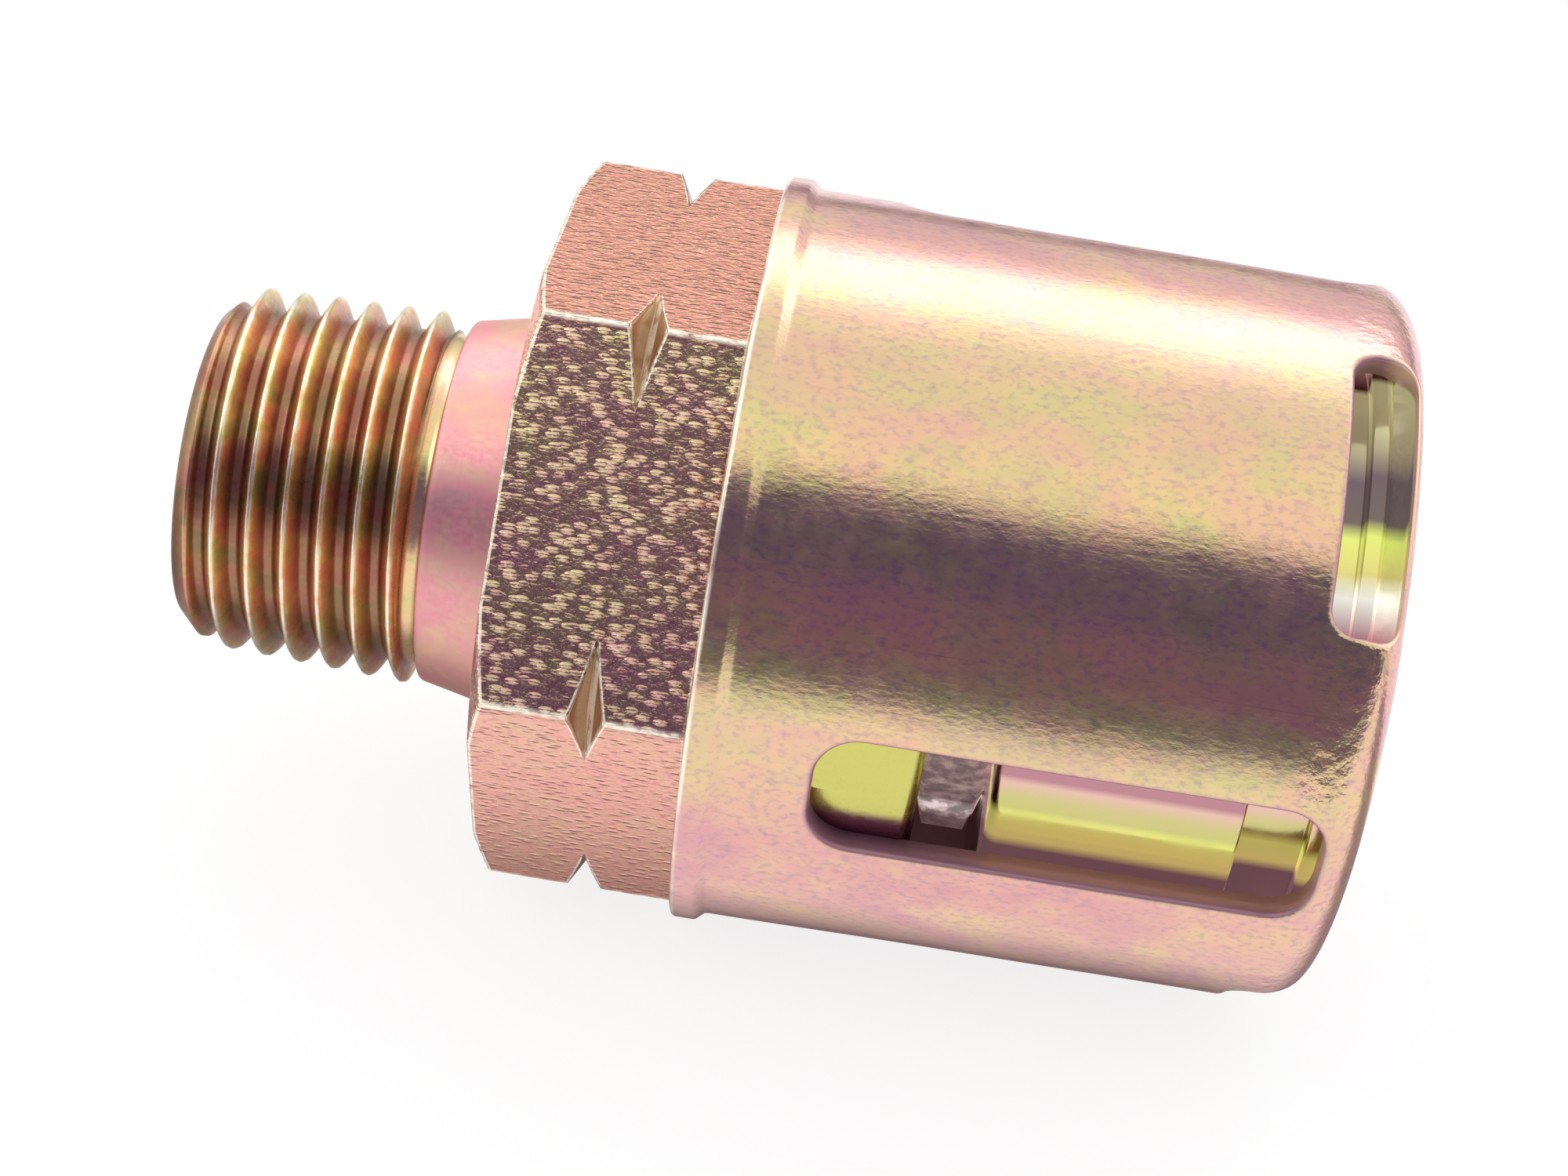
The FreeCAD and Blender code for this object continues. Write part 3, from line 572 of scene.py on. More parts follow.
def make_piston():
    low, high = PISTON_LOW.x, PISTON_HIGH.x
    outer = PISTON_HIGH.z
    return turned("piston_cup", [
        (low, SHANK_RADIUS, 0), (low, outer, 0.3), (high, outer, 0.08), (high, PISTON_BORE, 0.08),
        (PISTON_FACE, PISTON_BORE, 0.3), (PISTON_FACE, SHANK_RADIUS, 0)])


def make_guide_cup():
    start, end = GUIDE_LOW.x, GUIDE_HIGH.x
    flange = GUIDE_HIGH.z
    bore = GUIDE_RADIUS - GUIDE_WALL
    return turned("guide_turned", [
        (GUIDE_FLOOR, 0.05, 0), (GUIDE_FLOOR, bore, 0.3), (start, bore, 0.1), (start, GUIDE_RADIUS, 0.12),
        (RING_START, GUIDE_RADIUS, 0.03), (RING_START, RING_FLOOR, 0), (RING_END, RING_FLOOR, 0),
        (RING_END, GUIDE_RADIUS, 0.03), (GUIDE_FLANGE_START, GUIDE_RADIUS, 0.06),
        (GUIDE_FLANGE_START, flange, 0.08), (end, flange, 0.12), (end, 0.05, 0)])


def poppet_shape(x, r, angle):
    """Keeps the turned parts round and gives the flange its six bevelled flats."""
    low, high = DISC_HIGH.x, PISTON_LOW.x
    flats = hexagon_radius(angle, POPPET_HIGH.z, 0.1)
    bevel = POPPET_HIGH.z * 0.985 + np.minimum(np.abs(x - low), np.abs(high - x)) * 3
    on_flange = r > SHANK_RADIUS + 0.5
    return np.where(on_flange, np.minimum(r, smooth_min(flats, bevel, 0.05)), r)


def make_poppet():
    low, high = DISC_HIGH.x, PISTON_LOW.x
    reach = POPPET_HIGH.z / math.cos(math.radians(30))
    tip, shank_end = POPPET_LOW.x, POPPET_HIGH.x
    head = [(tip, 0.05, 0), (tip, 1.7, 0.2), (tip + 0.45, HEAD_RADIUS, 0.1), (HEAD_END, HEAD_RADIUS, 0.05),
            (HEAD_END, HEAD_STEM_RADIUS, 0), (low, HEAD_STEM_RADIUS, 0)]
    flange = [(low, 4.0, 0)] + [(x, reach, 0) for x in np.linspace(low, high, 12)] + [(high, 4.0, 0)]
    shank = [(high, SHANK_RADIUS, 0), (shank_end, SHANK_RADIUS, 0.25), (shank_end, 0.05, 0)]
    return turned("poppet_turned", head + flange + shank, shape=poppet_shape)


def spring_line(turns=6.5, coil=5.6, per_turn=40):
    """Centre line of the spring, with a closed coil at each end."""
    start, end = SPRING_LOW.x, SPRING_HIGH.x
    closed_rise = 2 * SPRING_WIRE * 1.02
    open_rise = (end - start - 2 * closed_rise) / (turns - 2)
    turned_by = np.linspace(0, turns, int(turns * per_turn) + 1)
    low = np.minimum(turned_by, 1)
    high = np.maximum(turned_by - (turns - 1), 0)
    x = start + closed_rise * (low + high) + open_rise * (turned_by - low - high)
    angle = 2 * math.pi * turned_by
    return about_axis(x, coil, angle)


def wire_along(line, radius, sides=12):
    """Vertices and faces of a closed round wire along a line of points."""
    tangent = np.gradient(line, axis=0)
    tangent /= np.linalg.norm(tangent, axis=1)[:, None]
    axis = np.tile([1.0, 0, 0], (len(line), 1))
    across = np.cross(tangent, axis)
    across /= np.linalg.norm(across, axis=1)[:, None]
    up = np.cross(across, tangent)
    turn = np.linspace(0, 2 * math.pi, sides, endpoint=False)
    rings = [line + radius * (across * math.cos(t) + up * math.sin(t)) for t in turn]
    vertices = np.stack(rings, 1).reshape(-1, 3)
    faces = ring_faces(len(line), sides, False)
    last = (len(line) - 1) * sides
    faces += [tuple(range(sides - 1, -1, -1)), tuple(range(last, last + sides))]
    return vertices, faces


def make_spring():
    vertices, faces = wire_along(spring_line(), SPRING_WIRE)
    vertices[:, 0] = np.clip(vertices[:, 0], SPRING_LOW.x, SPRING_HIGH.x)
    return new_object("spring_coiled", vertices, faces)


# ---- materials ---------------------------------------------------------------------------------

class NodeTree:
    """Makes and links nodes in a material's or a world's tree."""

    def __init__(self, owner):
        owner.use_nodes = True
        self.tree = owner.node_tree

    def node(self, kind, **settings):
        made = self.tree.nodes.new(kind)
        for key, value in settings.items():
            setattr(made, key, value)
        return made

    def link(self, source, target):
        self.tree.links.new(source, target)

    def feed(self, socket, value):
        """Connect a socket, or set its value."""
        if isinstance(value, bpy.types.NodeSocket):
            self.link(value, socket)
        elif isinstance(value, tuple) and len(value) == 3 and socket.type == "RGBA":
            socket.default_value = (*value, 1)
        else:
            socket.default_value = value

    def math(self, operation, first, second=0.0):
        made = self.node("ShaderNodeMath", operation=operation)
        self.feed(made.inputs[0], first)
        self.feed(made.inputs[1], second)
        return made.outputs[0]

    def times(self, first, second):
        return self.math("MULTIPLY", first, second)

    def plus(self, first, second):
        return self.math("ADD", first, second)

    def minus(self, first, second):
        return self.math("SUBTRACT", first, second)

    def larger(self, first, second):
        return self.math("MAXIMUM", first, second)

    def parts(self, vector):
        """The x, y and z of a vector."""
        made = self.node("ShaderNodeSeparateXYZ")
        self.link(vector, made.inputs[0])
        return made.outputs

    def span(self, value, low, high, to_low=0.0, to_high=1.0):
        """Map low..high to to_low..to_high, held at the ends."""
        made = self.node("ShaderNodeMapRange")
        for socket, number in zip(made.inputs, (value, low, high, to_low, to_high)):
            self.feed(socket, number)
        return made.outputs["Result"]

    def ramp(self, value, stops):
        """Colours along a value; each stop is (place, (r, g, b))."""
        made = self.node("ShaderNodeValToRGB")
        self.feed(made.inputs["Fac"], value)
        elements = made.color_ramp.elements
        while len(elements) < len(stops):
            elements.new(0.5)
        for element, (place, colour) in zip(elements, stops):
            element.position = place
            element.color = (*colour, 1)
        return made.outputs["Color"]

    def mix(self, share, first, second, kind="MIX"):
        made = self.node("ShaderNodeMix", data_type="RGBA", blend_type=kind)
        self.feed(made.inputs["Factor"], share)
        self.feed(made.inputs[6], first)
        self.feed(made.inputs[7], second)
        return made.outputs[2]


class Paint(NodeTree):
    """A node material built step by step; lengths in its patterns are millimetres."""

    def __init__(self, name):
        self.material = bpy.data.materials.new(name)
        super().__init__(self.material)
        self.surface = self.tree.nodes["Principled BSDF"]
        place = self.node("ShaderNodeTexCoord").outputs["Object"]
        self.millimetres = self.vector_math("SCALE", place, scale=1 / MM)

    def vector_math(self, operation, vector, other=None, scale=None):
        made = self.node("ShaderNodeVectorMath", operation=operation)
        self.feed(made.inputs[0], vector)
        if other is not None:
            self.feed(made.inputs[1], other)
        if scale is not None:
            self.feed(made.inputs["Scale"], scale)
        return made.outputs["Vector"]

    def noise(self, size, detail=3.0, stretch=(1, 1, 1), roughness=0.55, distortion=0.0):
        """Noise whose features are about size millimetres, stretched along each axis."""
        scaled = self.vector_math("MULTIPLY", self.millimetres, [1 / s for s in stretch])
        made = self.node("ShaderNodeTexNoise")
        self.link(scaled, made.inputs["Vector"])
        made.inputs["Scale"].default_value = 1 / size
        made.inputs["Detail"].default_value = detail
        made.inputs["Roughness"].default_value = roughness
        made.inputs["Distortion"].default_value = distortion
        return made.outputs["Fac"]

    def cells(self, size, stretch):
        """Distance to the nearest of scattered points about size millimetres apart."""
        scaled = self.vector_math("MULTIPLY", self.millimetres, [1 / s for s in stretch])
        made = self.node("ShaderNodeTexVoronoi")
        self.link(scaled, made.inputs["Vector"])
        made.inputs["Scale"].default_value = 1 / size
        return made.outputs["Distance"]

    def bump(self, height, distance, strength=1.0, under=None):
        """Surface relief; distance is its height in millimetres."""
        made = self.node("ShaderNodeBump")
        made.inputs["Strength"].default_value = strength
        made.inputs["Distance"].default_value = distance * MM
        self.feed(made.inputs["Height"], height)
        if under is not None:
            self.link(under, made.inputs["Normal"])
        return made.outputs["Normal"]

    def fine_bump(self, size, stretch, distance, strength=0.5, detail=2, under=None):
        """Relief of fine noise."""
        return self.bump(self.noise(size, detail=detail, stretch=stretch), distance, strength, under=under)

    def uneven_roughness(self, size, low, high, detail=3):
        """Roughness that wanders between two values."""
        return self.span(self.noise(size, detail=detail), 0.3, 0.7, low, high)

    def axis_parts(self):
        """Place along the axis, distance from it, and height."""
        x, y, z = self.parts(self.millimetres)
        return x, self.math("SQRT", self.plus(self.times(y, y), self.times(z, z))), z

    def attribute(self, name):
        """A number kept on the mesh's vertices."""
        return self.node("ShaderNodeAttribute", attribute_name=name).outputs["Fac"]

    def around(self, towards, low, high):
        """0 to 1 over a span of degrees about the axis, measured from the nearest opening of a kind."""
        _, y, z = self.parts(self.millimetres)
        step = 2 * math.pi / OPENINGS
        from_seam = self.minus(self.math("ARCTAN2", z, y), towards - step / 2 - 4 * math.pi)
        turned_by = self.math("MODULO", from_seam, step)
        return self.span(turned_by, step / 2 + math.radians(low), step / 2 + math.radians(high))

    def slant(self):
        """0 where the surface is seen square on, towards 1 at a grazing angle."""
        return self.node("ShaderNodeLayerWeight").outputs["Facing"]

    def finish(self, colour, roughness, normal=None, metallic=1.0, glow=None):
        self.feed(self.surface.inputs["Base Color"], colour)
        self.feed(self.surface.inputs["Roughness"], roughness)
        self.feed(self.surface.inputs["Metallic"], metallic)
        if normal is not None:
            self.link(normal, self.surface.inputs["Normal"])
        if glow is not None:
            self.feed(self.surface.inputs["Emission Color"], glow)
            self.surface.inputs["Emission Strength"].default_value = 1.0
        return self.material


PINK = (0.86, 0.50, 0.41)
PEACH = (0.88, 0.59, 0.38)
GOLD = (0.88, 0.66, 0.34)
OLIVE = (0.74, 0.68, 0.30)
ROSE = (0.80, 0.43, 0.42)
MAGENTA = (0.92, 0.42, 0.44)
YELLOW_GREEN = (0.66, 0.66, 0.17)
# Whitish colour for wear, also used for painted highlights on crests, ridges and grain.
WORN_AND_HIGHLIGHT = (0.99, 0.94, 0.76)
VIOLET = (0.42, 0.30, 0.40)


def film_tone(paint, patch):
    """Uneven thickness of the chromate film, broad patches with smaller ones in them."""
    broad = paint.noise(patch, detail=2.5, stretch=(1.3, 1, 1), distortion=0.6)
    small = paint.noise(patch * 0.28, detail=4, stretch=(2.0, 1, 1))
    return paint.plus(paint.times(broad, 0.72), paint.times(small, 0.28))


def between(paint, value, low, high, soft):
    """1 where a value lies between two limits, fading over a soft width."""
    rise = paint.span(value, low - soft, low)
    fall = paint.span(value, high, high + soft, 1.0, 0.0)
    return paint.times(rise, fall)


def chromate(paint, tone, z):
    """Film colour: gold and green where it is seen square on, pink at a slant and on the underside, with
    painted shade darkening it towards the bottom.
    """
    square_on = paint.ramp(tone, [(0.36, PEACH), (0.46, GOLD), (0.56, OLIVE), (0.66, GOLD)])
    slanted = paint.ramp(tone, [(0.36, ROSE), (0.48, PINK), (0.58, PEACH), (0.68, GOLD)])
    pinker = paint.plus(paint.span(paint.slant(), 0.08, 0.55), paint.span(z, -6.0, 0.0, 0.75, 0.0))
    film = paint.mix(pinker, square_on, slanted)
    # Painted shade: darker towards the bottom.
    return paint.mix(paint.span(z, -9.0, -5.0, 1.0, 0.0), film, (0.86, 0.74, 0.74), kind="MULTIPLY")


def window_painted_light(paint):
    """Painted reflection and shade in bands on what shows in the windows, and painted glow standing in for
    the light that bounces about in them.
    """
    turn = paint.around(WINDOW_ANGLE, -30, 30)
    painted_streaks = ((0.10, (0.36, 0.36, 0.22), (0.30, 0.27, 0.14)), (0.30, (0.28, 0.25, 0.16), (0.19, 0.16, 0.09)),
               (0.40, (0.12, 0.09, 0.10), (0.07, 0.05, 0.06)), (0.54, (0.12, 0.10, 0.09), (0.08, 0.06, 0.05)),
               (0.59, (0.40, 0.45, 0.12), (0.42, 0.47, 0.10)), (0.70, (0.40, 0.36, 0.14), (0.40, 0.35, 0.11)),
               (0.77, (0.60, 0.60, 0.50), (0.75, 0.76, 0.62)), (0.88, (0.46, 0.24, 0.24), (0.34, 0.16, 0.17)))
    # The first ramp paints reflection and shade, the second paints glow.
    film = paint.ramp(turn, [(place, colour) for place, colour, _ in painted_streaks])
    return film, paint.ramp(turn, [(place, light) for place, _, light in painted_streaks])


def drawn_zinc():
    """Yellow-chromated drawn sheet: mottled film, fine draw marks, painted shade darkening the cut walls, the
    rolled edges and the inside, and painted reflection, shade and glow on the inside face in the windows.
    """
    paint = Paint("drawn_yellow_zinc")
    x, radius, z = paint.axis_parts()
    tone = film_tone(paint, 2.0)
    speck = paint.noise(0.14, detail=2, stretch=(1.6, 1, 1))
    colour = paint.mix(paint.span(speck, 0.48, 0.72, 0.0, 0.5), chromate(paint, tone, z), VIOLET)
    cast = paint.noise(2.6, detail=3, stretch=(2.6, 1, 1), distortion=0.8)
    colour = paint.mix(paint.span(cast, 0.45, 0.70, 0.0, 0.45), colour, ROSE)
    # The cut mark also places painted shade on the cut walls, the inner part of the rolled edges and the
    # whole inside, lighter near the closed end.
    cut = paint.attribute("cut")
    on_floor = paint.times(paint.span(x, FLOOR_AT - 0.05, FLOOR_AT),
                           paint.span(radius, TINT_RADIUS - 0.15, TINT_RADIUS, 1.0, 0.0))
    near_floor = paint.span(x, FLOOR_AT - 0.5, FLOOR_AT + 0.1)
    cut_painted_light = paint.mix(near_floor, (0.42, 0.22, 0.29), (0.88, 0.62, 0.48))
    painted_streaks, painted_glow = window_painted_light(paint)
    cut_painted_light = paint.mix(on_floor, cut_painted_light, painted_streaks)
    colour = paint.mix(cut, colour, cut_painted_light)
    at_lip = between(paint, x, SHROUD_LOW.x - 1, SHROUD_LOW.x + 0.08, 0.06)
    at_lip = paint.times(at_lip, paint.span(radius, LIP_RADIUS - 0.22, LIP_RADIUS - 0.12))
    worn = paint.times(at_lip, paint.span(tone, 0.42, 0.55, 0.4, 1.0))
    colour = paint.mix(worn, colour, WORN_AND_HIGHLIGHT)
    roughness = paint.plus(paint.uneven_roughness(0.5, 0.13, 0.24, detail=4), paint.times(cut, 0.25))
    normal = paint.fine_bump(0.14, (1.6, 1, 1), 0.010, 0.6, detail=3)
    normal = paint.fine_bump(0.12, (14, 1, 1), 0.004, detail=3, under=normal)
    puckered = paint.times(between(paint, x, *PUCKER, 0.7), paint.noise(0.34, detail=3))
    normal = paint.bump(puckered, 0.05, 0.8, under=normal)
    metallic = paint.minus(1.0, paint.times(paint.larger(worn, cut), 0.45))
    # Painted glow on the inside face where the windows show it.
    glow = paint.mix(paint.times(on_floor, cut), (0.0, 0.0, 0.0), painted_glow)
    return paint.finish(colour, roughness, normal, metallic=metallic, glow=glow)


def thread_tint_and_painted_shade(paint, radius, x):
    """Colours of the thread with pink and olive patches; painted shade darkens its roots, and its crests are
    whitened by wear and a painted highlight.
    """
    depth = paint.minus(radius, paint.times(x, THREAD_TAPER))
    height = paint.span(depth, THREAD_RADIUS - THREAD_DEPTH, THREAD_RADIUS)
    uneven = paint.times(paint.minus(paint.noise(0.5, detail=3), 0.5), 0.5)
    height = paint.plus(height, uneven)
    # Painted shade in the roots, rising to wear and painted highlight at the crests.
    flanks = paint.ramp(height, [(0.05, (0.38, 0.23, 0.16)), (0.35, (0.62, 0.39, 0.27)),
                                 (0.62, (0.72, 0.52, 0.32)), (0.84, (0.93, 0.80, 0.46)), (0.93, WORN_AND_HIGHLIGHT)])
    patches = paint.ramp(paint.noise(1.0, detail=4, stretch=(1.6, 1, 1), distortion=0.5),
                         [(0.42, (1.0, 0.74, 0.74)), (0.50, (1.0, 0.94, 0.72)), (0.58, (0.78, 0.88, 0.66))])
    return paint.mix(paint.span(height, 0.8, 0.95, 1.0, 0.0), flanks, patches, kind="MULTIPLY")


def hexagon_tint(paint, tone, z):
    """Film on the hexagon's flats: gold seen square on, pink at a slant, with painted shade making the upper
    flat darker rose and the flats above the axis darker and purpler lower down.
    """
    square_on = paint.ramp(tone, [(0.40, (0.94, 0.64, 0.50)), (0.60, (0.86, 0.74, 0.42))])
    slanted = paint.ramp(tone, [(0.38, (1.0, 0.52, 0.42)), (0.62, (0.96, 0.58, 0.42))])
    film = paint.mix(paint.span(paint.slant(), 0.1, 0.42), square_on, slanted)
    # Painted shade: the upper flat darker rose.
    film = paint.mix(paint.span(z, HALF_FLATS - 0.2, HALF_FLATS - 0.08), film, (0.74, 0.36, 0.30))
    mottle = paint.ramp(paint.noise(0.16, detail=3, stretch=(1.5, 1, 1)),
                        [(0.36, (0.72, 0.50, 0.62)), (0.50, (1.0, 1.0, 1.0)), (0.62, (0.80, 0.86, 0.60))])
    film = paint.mix(0.55, film, mottle, kind="MULTIPLY")
    # Painted shade on the flats above the axis: darker and purpler towards the axis, yellower towards the
    # top.
    painted_shade_below = paint.mix(paint.span(z, 0.0, HALF_FLATS), (0.72, 0.62, 0.68), (1.0, 0.98, 0.86))
    return paint.mix(paint.span(z, -0.3, 0.2), film, paint.mix(1.0, film, painted_shade_below, kind="MULTIPLY"))


def beside_notch(paint, x, radius):
    """Distance along the axis from the notch's centre, and from its edge at this radius."""
    half_open = paint.math("DIVIDE", paint.minus(radius, NOTCH_ROOT), NOTCH_SLOPE)
    offset = paint.math("ABSOLUTE", paint.minus(x, NOTCH_CENTRE))
    return offset, paint.minus(offset, half_open)


def notch_inside(paint, x, radius):
    """1 on the walls of the V notch."""
    wall = paint.span(beside_notch(paint, x, radius)[1], 0.005, 0.03, 1.0, 0.0)
    return paint.times(wall, paint.span(radius, NOTCH_ROOT - 0.05, NOTCH_ROOT))


def worn_and_highlit_ridges(paint, x, radius):
    """1 along the hexagon's corners, ends and notch edges, for wear and painted highlight there, and on a
    painted highlight strip beside the notch's root.
    """
    ridge = paint.span(radius, HEXAGON_CORNER - 0.075, HEXAGON_CORNER - 0.03)
    drawn_back = paint.larger(paint.minus(radius, BEVEL_FACE_RADIUS), 0.0)
    bevel_x = paint.plus(paint.math("DIVIDE", drawn_back, BEVEL_SLOPE), HEXAGON_START)
    ends = paint.larger(between(paint, paint.minus(x, bevel_x), 0.03, 0.08, 0.02),
                        between(paint, x, REGISTER_START - 0.07, REGISTER_START - 0.025, 0.02))
    ends = paint.times(ends, paint.span(radius, HALF_FLATS - 0.25, HALF_FLATS - 0.1))
    offset, from_edge = beside_notch(paint, x, radius)
    notch = paint.times(between(paint, from_edge, 0.02, 0.06, 0.015), paint.span(offset, 0.04, 0.08))
    notch = paint.times(notch, paint.span(radius, NOTCH_ROOT, NOTCH_ROOT + 0.05))
    # Painted highlight beside the notch's root.
    lit_strip = between(paint, x, NOTCH_CENTRE + 0.04, NOTCH_CENTRE + 0.14, 0.03)
    lit_strip = paint.times(lit_strip, notch_inside(paint, x, radius))
    worn = paint.larger(paint.larger(ridge, ends), paint.times(notch, 0.85))
    worn = paint.larger(worn, paint.times(lit_strip, 0.8))
    return paint.times(worn, paint.span(paint.noise(0.5, detail=3), 0.35, 0.5, 0.35, 1.0))


def turned_zinc():
    """Yellow-chromated turned steel: thread, neck, pitted hexagon and bright register, with painted shade in
    the thread's roots, on the hexagon and on the register's lower side, and wear with painted highlights on
    crests, ridges and grain.
    """
    paint = Paint("turned_yellow_zinc")
    x, radius, z = paint.axis_parts()
    tone = film_tone(paint, 1.7)
    pits = paint.noise(0.12, detail=3, stretch=(1.6, 1, 1))
    grain = paint.span(paint.cells(0.17, stretch=(2.4, 1, 1)), 0.04, 0.46, 1.0, 0.0)
    gold = paint.ramp(tone, [(0.36, PEACH), (0.5, GOLD), (0.62, OLIVE)])
    neck = paint.ramp(tone, [(0.36, ROSE), (0.46, MAGENTA), (0.58, PINK), (0.70, PEACH)])
    on_thread = paint.span(x, RELIEF_START, RELIEF_START + 0.1, 1.0, 0.0)
    on_neck = between(paint, x, NECK_START - 0.02, HEXAGON_START - 0.02, 0.02)
    on_hexagon = paint.times(between(paint, x, HEXAGON_START - 0.02, REGISTER_START, 0.01),
                             paint.span(radius, NECK_LARGE_RADIUS + 0.2, NECK_LARGE_RADIUS + 0.4))
    in_notch = paint.times(on_hexagon, notch_inside(paint, x, radius))
    on_register = paint.times(paint.span(x, REGISTER_START, REGISTER_START + 0.02),
                              paint.span(radius, CHAMBER_RADIUS + 0.2, CHAMBER_RADIUS + 0.4))
    colour = paint.mix(on_neck, gold, neck)
    colour = paint.mix(on_thread, colour, thread_tint_and_painted_shade(paint, radius, x))
    colour = paint.mix(on_hexagon, colour, hexagon_tint(paint, tone, z))
    colour = paint.mix(in_notch, colour, (0.46, 0.29, 0.18))
    # Painted shade: the register turns dark purple below a few degrees past the slot's centre.
    register = paint.mix(paint.around(SLOT_ANGLE, 5.0, 7.5), YELLOW_GREEN, (0.30, 0.14, 0.20))
    colour = paint.mix(on_register, colour, register)
    rough_skin = paint.times(on_hexagon, paint.minus(1.0, in_notch))
    rough_skin = paint.times(rough_skin, paint.span(z, -0.4, 0.2, 0.4, 1.0))
    # Grain tops whitened: wear and painted glints.
    worn_and_glinting_grain = paint.times(rough_skin, paint.span(grain, 0.2, 0.9, 0.0, 0.3))
    colour = paint.mix(worn_and_glinting_grain, colour, WORN_AND_HIGHLIGHT)
    # Corners, ends and notch edges whitened: wear and painted highlight.
    worn = paint.times(worn_and_highlit_ridges(paint, x, radius), on_hexagon)
    colour = paint.mix(worn, colour, WORN_AND_HIGHLIGHT)
    roughness = paint.span(pits, 0.3, 0.7, 0.18, 0.30)
    roughness = paint.plus(roughness, paint.times(on_neck, 0.22))
    roughness = paint.plus(roughness, paint.times(on_thread, 0.08))
    normal = paint.bump(paint.times(grain, rough_skin), 0.055, 1.0)
    normal = paint.bump(paint.times(pits, rough_skin), 0.05, 0.8, under=normal)
    normal = paint.fine_bump(0.07, (1, 40, 40), 0.003, under=normal)
    return paint.finish(colour, roughness, normal, metallic=paint.span(worn, 0, 1, 1.0, 0.35))


def bright_yellow_zinc():
    """Shiny chromate on the inner cups, with turned rings, painted reflection and shade in bands under the
    slots and in the windows, and painted glow standing in for light that bounces in through them.
    """
    paint = Paint("bright_yellow_zinc")
    film = paint.ramp(paint.noise(1.8, detail=3, stretch=(2, 1, 1), distortion=0.4),
                      [(0.36, (0.82, 0.52, 0.36)), (0.46, (0.70, 0.64, 0.20)), (0.56, (0.64, 0.68, 0.17)),
                       (0.66, (0.76, 0.58, 0.28))])
    turn = paint.around(SLOT_ANGLE, -20, 40)
    # Painted bands under the slots: a shade line under the upper edge, a lit yellow-green reflection, dark
    # shade lower down.
    painted_streaks = paint.ramp(turn, [
        (0.262, (0.50, 0.20, 0.31)), (0.285, (0.84, 0.55, 0.48)), (0.33, (0.66, 0.62, 0.26)),
        (0.40, (0.60, 0.67, 0.17)), (0.49, (0.76, 0.60, 0.24)), (0.53, (0.30, 0.15, 0.20))])
    x = paint.axis_parts()[0]
    in_window = paint.times(paint.span(x, WINDOW[0] - 0.2, WINDOW[0]),
                            between(paint, paint.around(WINDOW_ANGLE, -30, 30), 0.03, 0.97, 0.03))
    window_painted_streaks, window_painted_glow = window_painted_light(paint)
    colour = paint.mix(in_window, paint.mix(0.85, film, painted_streaks), window_painted_streaks)
    # Painted glow in a band under the slots, standing in for light that bounces in.
    painted_glow = paint.ramp(turn, [(0.37, (0, 0, 0)), (0.41, (0.38, 0.36, 0.09)), (0.49, (0.46, 0.36, 0.12)),
                                (0.53, (0.12, 0.06, 0.07)), (0.72, (0.12, 0.06, 0.07)), (0.82, (0, 0, 0))])
    painted_glow = paint.mix(in_window, painted_glow, window_painted_glow)
    roughness = paint.uneven_roughness(0.6, 0.10, 0.20)
    return paint.finish(colour, roughness, paint.fine_bump(0.09, (1, 30, 30), 0.003), glow=painted_glow)


def plain_metal(name, colour, low, high, stretch=(1, 12, 12)):
    """Bare or bright-plated metal with a fine directional grain."""
    paint = Paint(name)
    tone = paint.noise(0.9, detail=4)
    darker = tuple(channel * 0.72 for channel in colour)
    shade = paint.ramp(tone, [(0.35, darker), (0.6, colour)])
    roughness = paint.uneven_roughness(0.25, low, high)
    return paint.finish(shade, roughness, paint.fine_bump(0.08, stretch, 0.002))


def bright_zinc():
    """Silvery plating on the poppet, with painted glow standing in for light that bounces in through the
    slots, and a painted highlight near its lower edge.
    """
    paint = Paint("bright_zinc")
    # Painted glow and a painted highlight band, by angle from the slot.
    painted_glow = paint.ramp(paint.around(SLOT_ANGLE, -20, 60), [
        (0.30, (0.10, 0.06, 0.07)), (0.48, (0.30, 0.20, 0.18)), (0.66, (0.32, 0.22, 0.20)),
        (0.74, (0.20, 0.13, 0.13)), (0.77, (0.80, 0.66, 0.64)), (0.82, (0.74, 0.58, 0.56)),
        (0.86, (0.14, 0.08, 0.08))])
    patches = paint.span(paint.noise(0.45, detail=4), 0.42, 0.60, 0.25, 1.0)
    painted_glow = paint.mix(patches, (0.05, 0.03, 0.035), painted_glow)
    roughness = paint.uneven_roughness(0.25, 0.2, 0.34)
    normal = paint.fine_bump(0.08, (1, 12, 12), 0.002)
    return paint.finish((0.88, 0.87, 0.88), roughness, normal, metallic=0.5, glow=painted_glow)


def rubber():
    """Matt black nitrile with a faint bloom."""
    paint = Paint("nitrile_rubber")
    bloom = paint.noise(0.8, detail=4)
    colour = paint.ramp(bloom, [(0.4, (0.014, 0.014, 0.015)), (0.7, (0.035, 0.034, 0.033))])
    normal = paint.fine_bump(0.06, (1, 1, 1), 0.004, 0.6, detail=3)
    return paint.finish(colour, paint.uneven_roughness(0.3, 0.55, 0.75), normal, metallic=0.0)


def white_ptfe():
    """Waxy white sliding ring."""
    paint = Paint("white_ptfe")
    colour = paint.ramp(paint.noise(1.2, detail=3), [(0.4, (0.72, 0.72, 0.69)), (0.6, (0.86, 0.86, 0.84))])
    return paint.finish(colour, 0.45, paint.fine_bump(0.1, (1, 15, 15), 0.002), metallic=0.0)


# ---- assembling the looks ----------------------------------------------------------------------

def stand_in(piece, node, body, material):
    """Let a modelled piece stand for a CAD node."""
    piece.data.materials.clear()
    piece.data.materials.append(material)
    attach(piece, body)
    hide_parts(node)


def dress(node, material):
    """Give a CAD node that stays visible its material."""
    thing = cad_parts[node]
    if not thing.material_slots:
        thing.data.materials.append(material)
    for holder in thing.material_slots:
        holder.material = material


